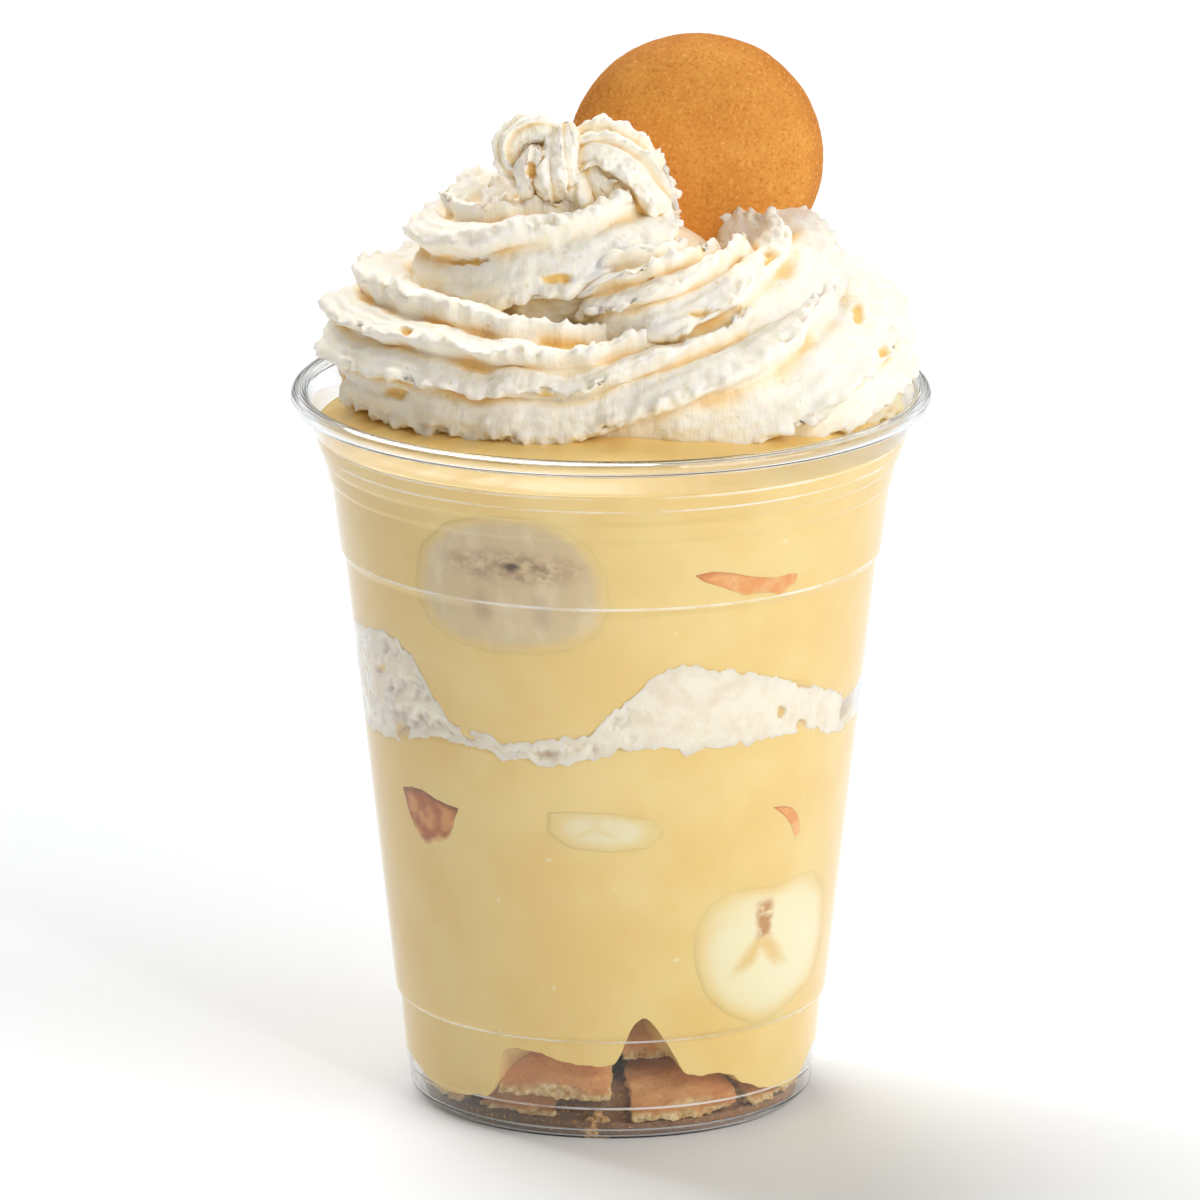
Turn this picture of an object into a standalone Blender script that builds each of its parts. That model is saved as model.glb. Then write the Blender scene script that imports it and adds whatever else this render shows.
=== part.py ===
"""Banana pudding in a clear thin-walled cup, with a piped whipped-cream swirl and a vanilla wafer.

Z is up and the cup stands on Z = 0 with its axis on the Z axis. The side with the two large
banana slices faces -Y. Azimuth is measured from -Y towards +X, seen from above.
"""

import math
import random

import bmesh
import bpy
from mathutils import Matrix, Vector

MM = 0.001
GAP = 0.3 * MM          # clearance between pieces that touch
FACETS = 40             # sides of every round of the cup and its filling
AXIS_MERGE = 0.00005

# Cup
CUP_WALL = 0.6 * MM
FLOOR_RISE = 1.5 * MM   # how far the middle of the base stands above the table
FLOOR_RADIUS = 25.8 * MM
FOOT_INSIDE = (27.3 * MM, 28.9 * MM)
CORNER_INSIDE = (30.1 * MM, 1.9 * MM)
STRAIGHT_FROM = 3       # the first point of CUP_OUTSIDE that the inside of the wall runs along
LIP_CENTRE = (47.6 * MM, 109.7 * MM)
LIP_CURL = 1.4 * MM     # outside radius of the rolled lip
LIP_STEPS = 6
LIP_SWEEP = (178.0, -75.0)      # from the wall over the top and round to the free edge, in degrees
CUP_OUTSIDE = (         # radius and height in mm, from the foot to the start of the lip
    (27.2, 0.0), (29.2, 0.0), (30.7, 1.7), (30.95, 4.6), (31.35, 5.4), (32.35, 16.0), (33.0, 16.8),
    (40.65, 85.2), (41.3, 86.2), (42.7, 97.0), (43.1, 97.6), (43.5, 100.0), (44.0, 100.6),
    (45.2, 104.0),
)
ROOM_TOP = 124 * MM     # how high the solid that trims the filling to the cup reaches

# Layers: azimuth in degrees and height at the wall in mm
CUSTARD_CROWN = 109.6 * MM      # the custard bulges up under the cream and falls away to the wall
CUSTARD_FALL = 16.0 * MM
CUSTARD_FLOOR = (
    (-80, 6.3), (-64, 6.8), (-51, 9.2), (-43, 6.0), (-33, 12.6), (0, 11.8), (14, 9.5), (24, 9.2),
    (40, 9.0), (50, 5.6), (62, 4.8), (74, 7.6), (100, 7.0), (135, 10.5), (175, 7.5), (215, 10.0), (250, 6.5),
)
CREAM_BAND_FLOOR = (
    (-78, 59.3), (-55, 61.0), (-41, 62.0), (-15, 60.4), (9, 63.8), (28, 63.0), (50, 63.2), (70, 60.5),
    (100, 61.5), (135, 58.5), (170, 62.0), (205, 59.0), (245, 61.0),
)
CREAM_BAND_ROOF = (
    (-78, 76.2), (-60, 77.0), (-47, 72.5), (-36, 65.0), (-26, 63.4), (-12, 65.2), (0, 69.5), (10, 75.0),
    (20, 76.6), (36, 74.0), (60, 69.0), (80, 67.5), (110, 74.5), (140, 66.0), (170, 68.5), (205, 76.5),
    (235, 70.0), (260, 73.0),
)
CUSTARD_LEVEL = 10 * MM         # heights of the layers' boundaries at the axis
BAND_FLOOR_LEVEL = 61 * MM
BAND_ROOF_LEVEL = 71 * MM
LAYER_REACH = 60 * MM   # how far a layer's rough blank runs past the wall before it is trimmed
LAYER_RINGS = (0.34, 0.67, 1.0)
CROWN_RINGS = (0.3, 0.46, 0.58, 0.68, 0.78, 1.0)
AIR_POCKET = dict(azimuth=80, height=64.5, reach=39.5, half_size=(3.0, 9.0, 3.6))
NOTCH = dict(left=3.0, right=22.0, foot=6.0, apex_azimuth=9.0, apex=20.6, depth=5.5)

# Banana slices against the wall: azimuth, height, half width, half height, depth, roll
BANANA = (
    ("banana_slice_upper", -22, 90.5, 16.3, 12.6, 8.0, -4),
    ("banana_slice_lower", 45, 29.5, 13.6, 12.8, 7.5, 8),
    ("banana_slice_edge", -2, 50.3, 9.2, 3.3, 11.0, -6),
    ("banana_slice_back_upper", 150, 90.0, 14.8, 13.2, 8.0, 6),
    ("banana_slice_back_lower", 205, 33.0, 15.0, 12.4, 8.0, -8),
    ("banana_slice_back_edge", 262, 46.0, 11.0, 3.6, 11.0, 5),
)
BANANA_SIDES = 22
BANANA_UNEVEN = 0.02    # how far an outline's corners stray, as a share of its size
PROUD = 4 * MM          # how far a slice's blank runs out through the wall before it is trimmed

# Vanilla wafers
WAFER_RADIUS = 19.2 * MM
WAFER_THICK = 9.0 * MM
WAFER_SIDES = 26
WAFER_SECTION = (       # shares of the radius and of the thickness
    (0.0, 1.0), (0.42, 0.95), (0.70, 0.79), (0.88, 0.56), (0.975, 0.34), (1.0, 0.20), (0.965, 0.05), (0.90, 0.0),
    (0.0, 0.0),
)
TOP_WAFER = dict(at=(13.4, 15.5, 142.7), lean=7.0, turn=4.0)
# Broken wafers inside the pudding: azimuth, height, half width, half height, depth, roll
WAFER_CHIPS = (
    ("wafer_chip_upper", 30.5, 89.0, 9.6, 2.0, 9.0, -4),
    ("wafer_chip_left", -48, 48.6, 6.0, 4.6, 8.0, 24),
    ("wafer_chip_right", 48, 49.0, 3.2, 3.4, 5.0, -30),
    ("wafer_chip_back_upper", 205, 91.0, 8.0, 2.6, 8.0, 6),
    ("wafer_chip_back_lower", 128, 44.0, 6.4, 4.4, 8.0, -18),
)
# Broken wafers on the cup's floor: start and end azimuth, inner and outer reach, lowest and
# highest level, wafer centre's reach and level, tilt along and across
FLOOR_WAFERS = (
    ("wafer_piece_left", (-86, -50), (12.0, 30.4), (2.6, 7.0), (11.5, 0.0), (-3, 2)),
    ("wafer_piece_pale", (-47, -17), (15.0, 28.9), (2.5, 5.6), (11.0, -1.0), (2, 3)),
    ("wafer_piece_front", (-36, 1.5), (11.0, 31.2), (6.1, 14.2), (12.2, 5.2), (-3, 3)),
    ("wafer_piece_centre", (4.5, 42), (12.0, 31.0), (2.5, 10.3), (11.8, 0.6), (-7, -5)),
    ("wafer_piece_upright", (1.5, 25), (16.0, 26.0), (11.2, 21.6), (9.0, 13.0), (0, 30)),
    ("wafer_piece_right", (45, 82), (12.0, 30.6), (2.6, 8.6), (11.8, 0.2), (3, 3)),
    ("wafer_piece_back_a", (86, 128), (12.0, 30.6), (2.6, 9.5), (11.8, 1.2), (-4, 2)),
    ("wafer_piece_back_b", (132, 172), (12.0, 31.0), (2.6, 11.6), (12.0, 3.0), (3, -3)),
    ("wafer_piece_back_c", (176, 222), (12.0, 30.8), (2.6, 10.4), (11.8, 1.6), (5, 2)),
    ("wafer_piece_back_d", (226, 270), (12.0, 30.6), (2.6, 8.8), (11.6, 0.4), (-3, 4)),
)
CHIP_SIDES = 12
CHIP_UNEVEN = 0.09
BREAK_STEPS = 5         # corners along each broken edge
BREAK_DEPTH = 1.1 * MM

# Whipped-cream swirl: turn angle in degrees, reach, height and girth in mm
SWIRL_AXIS = (0.0, 6.0 * MM)
LOWER_COIL = (
    (-140, 27.0, 113.0, 9.0), (-115, 30.5, 114.3, 13.0), (-90, 32.2, 114.8, 14.2), (-45, 27.0, 115.6, 13.8),
    (0, 22.0, 116.2, 13.4), (45, 27.0, 116.4, 14.2), (90, 31.8, 117.0, 15.0), (125, 29.5, 120.0, 14.6),
    (150, 26.0, 122.0, 12.0), (170, 24.0, 122.5, 8.0),
)
UPPER_COIL = (
    (130, 25.0, 121.0, 8.0), (155, 23.5, 123.0, 12.0), (180, 21.5, 125.0, 12.8), (225, 20.5, 126.5, 12.4),
    (270, 20.5, 127.5, 12.2), (315, 15.5, 128.5, 11.4), (360, 12.5, 128.0, 10.8), (405, 14.0, 126.0, 9.6),
    (436, 16.5, 124.5, 7.5),
)
TIP_AXIS = (-6.0 * MM, 4.0 * MM)
TIP_COIL = (
    (-35, 6.6, 138.0, 4.6), (10, 7.0, 140.5, 6.2), (90, 7.0, 141.5, 6.4), (170, 7.0, 143.5, 6.3),
    (230, 6.6, 145.0, 5.6), (262, 5.6, 146.2, 4.0),
)
TIP_PEAK = ((-6.0, 4.0, 140.0, 6.5), (-5.5, 3.5, 146.0, 4.6), (-3.8, 3.0, 149.5, 2.6), (-1.8, 2.4, 151.8, 0.6))
UPPER_PHASE = 17.0      # degrees that a coil's flutes start at
TIP_PHASE = 9.0
TIP_TEETH = 6
TIP_STEP = 16.0
PEAK_TEETH = 5
PEAK_TWIST = 11.0       # degrees from one ring of the peak to the next
TEETH = 10
TOOTH_DEPTH = 0.24      # groove depth as a share of the girth
TOOTH_LEAN = 0.18       # how far a groove sits off the middle of its tooth, in teeth
TWIST_PER_TURN = 40.0   # degrees that the flutes wind round the rope in one turn
RING_STEP = 8.0         # degrees between the rope's rings
SWIRL_CORE = dict(at=(0.0, 7.0, 116.0), half_size=(24.0, 19.0, 19.0))
CREAM_VOXEL = 0.9 * MM
CREAM_FACES = 4000
SEED = 7

COLOURS = {
    "clear_plastic": (0.86, 0.88, 0.88, 0.28),
    "vanilla_custard": (0.90, 0.68, 0.32, 1.0),
    "whipped_cream": (0.93, 0.86, 0.73, 1.0),
    "banana_flesh": (0.86, 0.74, 0.50, 1.0),
    "baked_wafer": (0.72, 0.36, 0.10, 1.0),
}
ROUGHNESS = {
    "clear_plastic": 0.05, "vanilla_custard": 0.3, "whipped_cream": 0.6, "banana_flesh": 0.45, "baked_wafer": 0.8,
}


def clear_scene():
    for obj in list(bpy.data.objects):
        bpy.data.objects.remove(obj)


def new_collection(name, rendered=True):
    collection = bpy.data.collections.new(name)
    collection.hide_render = not rendered
    bpy.context.scene.collection.children.link(collection)
    return collection


def finish_material(name):
    material = bpy.data.materials.new(name)
    material.use_nodes = True
    shader = material.node_tree.nodes["Principled BSDF"]
    colour = COLOURS[name]
    shader.inputs["Base Color"].default_value = (*colour[:3], 1.0)
    shader.inputs["Roughness"].default_value = ROUGHNESS[name]
    shader.inputs["Alpha"].default_value = colour[3]
    return material


def new_object(name, mesh, collection, material=None):
    obj = bpy.data.objects.new(name, mesh)
    collection.objects.link(obj)
    if material:
        mesh.materials.append(material)
    return obj


def mesh_from(bm, name):
    """Makes a mesh whose faces point out, from a closed bmesh."""
    bmesh.ops.recalc_face_normals(bm, faces=bm.faces[:])
    if bm.calc_volume(signed=True) < 0:
        bmesh.ops.reverse_faces(bm, faces=bm.faces[:])
    mesh = bpy.data.meshes.new(name)
    bm.to_mesh(mesh)
    bm.free()
    return mesh


def bake(obj):
    """Replaces the object's mesh with what its modifiers make of it."""
    bpy.context.view_layer.update()
    graph = bpy.context.evaluated_depsgraph_get()
    material = obj.data.materials[0] if obj.data.materials else None
    mesh = bpy.data.meshes.new_from_object(obj.evaluated_get(graph))
    obj.modifiers.clear()
    obj.data = mesh
    mesh.materials.clear()
    if material:
        mesh.materials.append(material)


def combine(obj, other, operation, solver="EXACT"):
    """Cuts, trims or joins obj with other, and applies it. other is an object or a collection."""
    modifier = obj.modifiers.new(operation.title(), "BOOLEAN")
    modifier.operation = operation
    modifier.solver = solver
    if isinstance(other, bpy.types.Collection):
        modifier.operand_type = "COLLECTION"
        modifier.collection = other
    else:
        modifier.object = other
    bake(obj)


def keep_largest_skin(obj):
    """Drops loose scraps and the skins of hollows that a union has sealed, which fills them."""
    bm = bmesh.new()
    bm.from_mesh(obj.data)
    left = set(bm.faces)
    skins = []
    while left:
        skin = {left.pop()}
        edge_of_skin = list(skin)
        while edge_of_skin:
            face = edge_of_skin.pop()
            near = {other for edge in face.edges for other in edge.link_faces} & left
            left -= near
            skin |= near
            edge_of_skin.extend(near)
        skins.append(skin)
    skins.sort(key=len)
    for skin in skins[:-1]:
        bmesh.ops.delete(bm, geom=list(skin), context="FACES")
    bm.to_mesh(obj.data)
    bm.free()


def shade(obj, angle=40.0):
    obj.data.shade_smooth()
    obj.data.set_sharp_from_angle(angle=math.radians(angle))


def heading(azimuth):
    """The level unit vector that points out of the cup at this azimuth."""
    a = math.radians(azimuth)
    return Vector((math.sin(a), -math.cos(a), 0.0))


def smooth_between(table, angle, turn=None):
    """A cubic curve through the table's rows, at this angle. With turn, the table repeats."""
    rows = [tuple(row) for row in table]
    if turn:
        first = rows[0][0]
        angle = first + (angle - first) % turn
        before = (rows[-1][0] - turn, *rows[-1][1:])
        after = [(row[0] + turn, *row[1:]) for row in rows[:2]]
        rows = [before, *rows, *after]
    else:
        rows = [rows[0], *rows, rows[-1]]
    for i in range(1, len(rows) - 2):
        if angle <= rows[i + 1][0]:
            break
    p0, p1, p2, p3 = rows[i - 1:i + 3]
    span = p2[0] - p1[0]
    t = min(1.0, max(0.0, (angle - p1[0]) / span))
    out = []
    for k in range(1, len(p1)):
        lead = (p2[k] - p0[k]) / max(1e-6, p2[0] - p0[0]) * span
        trail = (p3[k] - p1[k]) / max(1e-6, p3[0] - p1[0]) * span
        out.append(
            (2 * t**3 - 3 * t**2 + 1) * p1[k] + (t**3 - 2 * t**2 + t) * lead
            + (3 * t**2 - 2 * t**3) * p2[k] + (t**3 - t**2) * trail
        )
    return out


def lip_arc(radius, start, end):
    """Points of the rolled lip, in the plane of radius and height."""
    points = []
    for i in range(LIP_STEPS):
        a = math.radians(start + (end - start) * i / (LIP_STEPS - 1))
        points.append((LIP_CENTRE[0] + radius * math.cos(a), LIP_CENTRE[1] + radius * math.sin(a)))
    return points


def cup_profile():
    """The cup's section, from the middle of its inner floor over the lip to the middle of its underside."""
    outside = [(r * MM, z * MM) for r, z in CUP_OUTSIDE]
    inside = [(r - CUP_WALL, z) for r, z in outside[STRAIGHT_FROM:]]
    floor = FLOOR_RISE + CUP_WALL
    foot = [(0.0, floor), (FLOOR_RADIUS, floor), *[(r, CUP_WALL) for r in FOOT_INSIDE], CORNER_INSIDE]
    start, end = LIP_SWEEP
    over_lip = lip_arc(LIP_CURL, start, end)
    under_lip = lip_arc(LIP_CURL - CUP_WALL, end, start)
    under = [(FLOOR_RADIUS - CUP_WALL / 2, FLOOR_RISE), (0.0, FLOOR_RISE)]
    return foot + inside + over_lip + under_lip + outside[::-1] + under


def turned(name, profile, collection, material=None):
    """A solid of revolution about Z from a profile that ends on the axis at both ends."""
    mesh = bpy.data.meshes.new(name)
    points = [(r, 0.0, z) for r, z in profile]
    mesh.from_pydata(points, [(i, i + 1) for i in range(len(points) - 1)], [])
    obj = new_object(name, mesh, collection, material)
    screw = obj.modifiers.new("Turn", "SCREW")
    screw.steps = FACETS
    screw.render_steps = FACETS
    screw.use_merge_vertices = True
    screw.merge_threshold = AXIS_MERGE
    return obj


def cup_inside(clearance):
    """The profile of what fits in the cup with this clearance, open at the top."""
    wall = [(r * MM - CUP_WALL - clearance, z * MM) for r, z in CUP_OUTSIDE[STRAIGHT_FROM:]]
    corner = (CORNER_INSIDE[0] - clearance, CORNER_INSIDE[1] + clearance)
    floor = FLOOR_RISE + CUP_WALL + clearance
    upwards = [(0.0, floor), (FLOOR_RADIUS, floor), corner, *wall, (wall[-1][0], ROOM_TOP), (0.0, ROOM_TOP)]
    return upwards[::-1]


def loft_mesh(name, rings, poles=None):
    """A closed skin over rings of equal length. poles are end points; without them the ends are flat."""
    bm = bmesh.new()
    rows = [[bm.verts.new(p) for p in ring] for ring in rings]
    count = len(rows[0])
    for low, high in zip(rows, rows[1:]):
        for i in range(count):
            j = (i + 1) % count
            bm.faces.new((low[i], low[j], high[j], high[i]))
    for row, pole in zip((rows[0], rows[-1]), poles or (None, None)):
        if pole is None:
            bm.faces.new(row)
            continue
        tip = bm.verts.new(pole)
        for i in range(count):
            bm.faces.new((row[i], row[(i + 1) % count], tip))
    bmesh.ops.triangulate(bm, faces=bm.faces[:])
    return mesh_from(bm, name)


def loft(name, rings, collection, material=None, poles=None):
    return new_object(name, loft_mesh(name, rings, poles), collection, material)


def crown(share):
    """The height of the custard's top at this share of LAYER_REACH from the axis."""
    return CUSTARD_CROWN - CUSTARD_FALL * share**4


def sheet_rings(table, level):
    """Rings of a wavy surface that has the table's heights at the wall and evens out to level at the axis."""
    rings = []
    for share in LAYER_RINGS:
        ring = []
        for i in range(FACETS):
            azimuth = 360.0 * i / FACETS + 90.0
            rise = smooth_between(table, azimuth, 360.0)[0] * MM - level
            ring.append(heading(azimuth) * LAYER_REACH * share + Vector((0, 0, level + rise * share**2)))
        rings.append(ring)
    return rings


def crown_rings():
    rings = []
    for share in CROWN_RINGS:
        around = [heading(360.0 * i / FACETS + 90.0) * LAYER_REACH * share for i in range(FACETS)]
        rings.append([p + Vector((0, 0, crown(share))) for p in around])
    return rings


def layer(name, floor, floor_level, roof_rings, roof_level, collection, material):
    """The rough blank of a layer of filling: it lies between two surfaces and runs past the cup's wall."""
    rings = sheet_rings(floor, floor_level) + roof_rings[::-1]
    poles = ((0, 0, floor_level), (0, 0, roof_level))
    return loft(name, rings, collection, material, poles)


def wall_radius(height):
    """The cup's inner radius at this height."""
    rows = [(r * MM - CUP_WALL, z * MM) for r, z in CUP_OUTSIDE[STRAIGHT_FROM - 1:]]
    for (r0, z0), (r1, z1) in zip(rows, rows[1:]):
        if height <= z1:
            return r0 + (r1 - r0) * max(0.0, (height - z0) / (z1 - z0))
    return rows[-1][0]


def wall_frame(azimuth, height, roll):
    """Axes at a place on the wall: X along the wall, Y up, Z out through it."""
    out = heading(azimuth)
    along = Vector((0, 0, 1)).cross(out)
    axes = Matrix((along, Vector((0, 0, 1)), out)).transposed().to_4x4()
    place = Matrix.Translation(out * wall_radius(height) + Vector((0, 0, height)))
    return place @ axes @ Matrix.Rotation(math.radians(roll), 4, "Z")


def blank(name, sides, half_width, half_height, depth, frame, collection, grow=0.0, material=None, uneven=0.0):
    """An oval slice that reaches depth inwards from the wall and a little out through it."""
    bm = bmesh.new()
    bmesh.ops.create_cone(bm, cap_ends=True, segments=sides, radius1=1, radius2=1, depth=depth + PROUD + grow)
    bmesh.ops.translate(bm, vec=(0, 0, (PROUD - depth - grow) / 2), verts=bm.verts)
    rng = random.Random(name.split(".")[0])
    swell = [1.0 + uneven * rng.uniform(-1, 1) for _ in range(sides)]
    for vert in bm.verts:
        side = round(math.atan2(vert.co.y, vert.co.x) / math.tau * sides) % sides
        vert.co.x *= half_width * swell[side] + grow
        vert.co.y *= half_height * swell[side] + grow
    bm.transform(frame)
    return new_object(name, mesh_from(bm, name), collection, material)


def wafer_profile(grow=0.0):
    """A wafer's section: a domed top, a rounded edge and a flat baked underside, from pole to pole."""
    radius, thick = WAFER_RADIUS + grow, WAFER_THICK + grow
    return [(r * radius, z * thick if z else -grow) for r, z in WAFER_SECTION]


def wafer(name, frame, collection, material=None, grow=0.0):
    obj = turned(name, wafer_profile(grow), collection, material)
    obj.modifiers["Turn"].steps = WAFER_SIDES
    obj.modifiers["Turn"].render_steps = WAFER_SIDES
    obj.matrix_world = frame
    bake(obj)
    obj.data.transform(frame)
    obj.matrix_world = Matrix.Identity(4)
    return obj


def top_wafer_frame():
    """The whole wafer stands on edge in the cream with its dome to the front and leans back."""
    turn = Matrix.Rotation(math.radians(TOP_WAFER["turn"]), 4, "Z")
    lean = Matrix.Rotation(math.radians(90.0 - TOP_WAFER["lean"]), 4, "X")
    centre = Matrix.Translation(Vector(TOP_WAFER["at"]) * MM)
    return centre @ turn @ lean @ Matrix.Translation((0, 0, -WAFER_THICK / 2))


def broken_block(name, azimuths, reach, levels, collection, grow=0.0):
    """The room one broken wafer takes: a ring sector whose sides and inner end are jagged breaks."""
    rng = random.Random(name.split(".")[0])
    inner, outer = reach[0] * MM - grow, reach[1] * MM + grow
    jags = [[rng.uniform(-1, 1) for _ in range(BREAK_STEPS)] for _ in range(2)]
    outline = []
    for side in (0, 1):
        steps = range(BREAK_STEPS) if side else range(BREAK_STEPS - 1, -1, -1)
        for i in steps:
            share = i / (BREAK_STEPS - 1)
            r = inner + (outer - inner) * share
            swing = (jags[side][i] - 1.0) / 2 * BREAK_DEPTH + grow
            sign = 1 if side else -1
            azimuth = azimuths[side] + sign * math.degrees(swing / r)
            outline.append(heading(azimuth) * r)
    low, high = levels[0] * MM - grow, levels[1] * MM + grow
    rings = [[p + Vector((0, 0, z)) for p in outline] for z in (low, high)]
    return loft(name, rings, collection)


def floor_wafer(row, plug, collection, scrap, material=None, grow=0.0):
    """One broken wafer on the cup's floor, or with grow the room it takes in the custard."""
    name, azimuths, reach, levels, centre, tilts = row
    middle = (azimuths[0] + azimuths[1]) / 2
    out = heading(middle)
    turn = Matrix.Rotation(math.radians(middle), 4, "Z")
    tilt = Matrix.Rotation(math.radians(tilts[0]), 4, "Y") @ Matrix.Rotation(math.radians(tilts[1]), 4, "X")
    place = Matrix.Translation(out * centre[0] * MM + Vector((0, 0, centre[1] * MM)))
    piece = wafer(name + ".room" if grow else name, place @ turn @ tilt, collection, material, grow)
    block = broken_block(name + ".block", azimuths, reach, levels, scrap, grow)
    combine(piece, block, "INTERSECT")
    if not grow:
        combine(piece, plug, "INTERSECT")
    return piece


def star_ring(centre, out, up, girth, turn, teeth, rng):
    """One star-shaped section of piped cream: a sharp crest and a groove for each tooth."""
    ring = []
    for k in range(2 * teeth):
        crest = k % 2 == 0
        place = k / 2 + (0 if crest else TOOTH_LEAN)
        a = math.radians(turn) + math.tau * place / teeth
        r = girth * (1 + 0.03 * rng.uniform(-1, 1)) if crest else girth * (1 - TOOTH_DEPTH)
        ring.append(centre + (out * math.cos(a) + up * math.sin(a)) * r)
    return ring


def rope(name, table, axis, teeth=TEETH, step=RING_STEP, phase=0.0):
    """A rope of piped cream that winds round an upright axis."""
    rng = random.Random(SEED)
    first, last = table[0][0], table[-1][0]
    count = max(2, round((last - first) / step))
    rings = []
    hub = Vector((*axis, 0.0))
    for i in range(count + 1):
        angle = first + (last - first) * i / count
        reach, height, girth = smooth_between(table, angle)
        out = heading(angle)
        centre = hub + out * reach * MM + Vector((0, 0, height * MM))
        turn = phase + TWIST_PER_TURN * angle / 360.0
        rings.append(star_ring(centre, out, Vector((0, 0, 1)), girth * MM, turn, teeth, rng))
    return loft_mesh(name, rings)


def melt(obj, voxel, faces):
    """Runs the object's overlapping shells together into one skin with about this many faces."""
    remesh = obj.modifiers.new("Run together", "REMESH")
    remesh.mode = "VOXEL"
    remesh.voxel_size = voxel
    bake(obj)
    keep_largest_skin(obj)
    thin = obj.modifiers.new("Thin out", "DECIMATE")
    thin.ratio = min(1.0, faces / (2 * len(obj.data.polygons)))
    bake(obj)


def cream_core():
    bm = bmesh.new()
    bmesh.ops.create_uvsphere(bm, u_segments=20, v_segments=12, radius=1)
    bmesh.ops.scale(bm, vec=Vector(SWIRL_CORE["half_size"]) * MM, verts=bm.verts)
    bmesh.ops.translate(bm, vec=Vector(SWIRL_CORE["at"]) * MM, verts=bm.verts)
    return mesh_from(bm, "cream_core")


def cream_peak():
    rng = random.Random(SEED)
    x, y = Vector((1, 0, 0)), Vector((0, 1, 0))
    rings = []
    for i, (*at, girth) in enumerate(TIP_PEAK):
        rings.append(star_ring(Vector(at) * MM, x, y, girth * MM, PEAK_TWIST * i, PEAK_TEETH, rng))
    return loft_mesh("cream_peak", rings)


def cream_swirl(parts, scrap, material, slot):
    """Two coils of piped cream round a core, with a small coil and a peak on top, run together in one solid."""
    shells = (
        rope("lower_coil", LOWER_COIL, SWIRL_AXIS),
        rope("upper_coil", UPPER_COIL, SWIRL_AXIS, phase=UPPER_PHASE),
        rope("tip_coil", TIP_COIL, TIP_AXIS, teeth=TIP_TEETH, step=TIP_STEP, phase=TIP_PHASE),
        cream_peak(),
        cream_core(),
    )
    bm = bmesh.new()
    for shell in shells:
        bm.from_mesh(shell)
    swirl = new_object("cream_swirl", mesh_from(bm, "cream_swirl"), parts, material)
    melt(swirl, CREAM_VOXEL, CREAM_FACES)
    top = [(LAYER_REACH * share, crown(share) + GAP) for share in (0.0, *CROWN_RINGS)]
    under = turned("cream_underside", [*top, (LAYER_REACH, BAND_FLOOR_LEVEL), (0.0, BAND_FLOOR_LEVEL)], scrap)
    combine(swirl, under, "DIFFERENCE")
    combine(swirl, slot, "DIFFERENCE")
    keep_largest_skin(swirl)
    return swirl


def air_pocket(scrap):
    """The room that the cream band leaves beside the wall on the right."""
    bm = bmesh.new()
    bmesh.ops.create_uvsphere(bm, u_segments=14, v_segments=8, radius=1)
    bmesh.ops.scale(bm, vec=Vector(AIR_POCKET["half_size"]) * MM, verts=bm.verts)
    out = heading(AIR_POCKET["azimuth"])
    turn = Matrix.Rotation(math.radians(AIR_POCKET["azimuth"] - 90.0), 4, "Z")
    place = Matrix.Translation(out * AIR_POCKET["reach"] * MM + Vector((0, 0, AIR_POCKET["height"] * MM)))
    bm.transform(place @ turn)
    return new_object("air_pocket", mesh_from(bm, "air_pocket"), scrap)


def custard_notch(scrap):
    """The three-cornered gap low in the front of the custard, between two broken wafers."""
    corners = (
        (NOTCH["left"], NOTCH["foot"]), (NOTCH["right"], NOTCH["foot"]), (NOTCH["apex_azimuth"], NOTCH["apex"]),
    )
    rings = []
    for offset in (-NOTCH["depth"] * MM, PROUD):
        rings.append([heading(a) * (wall_radius(z * MM) + offset) + Vector((0, 0, z * MM)) for a, z in corners])
    return loft("custard_notch", rings, scrap)


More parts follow.
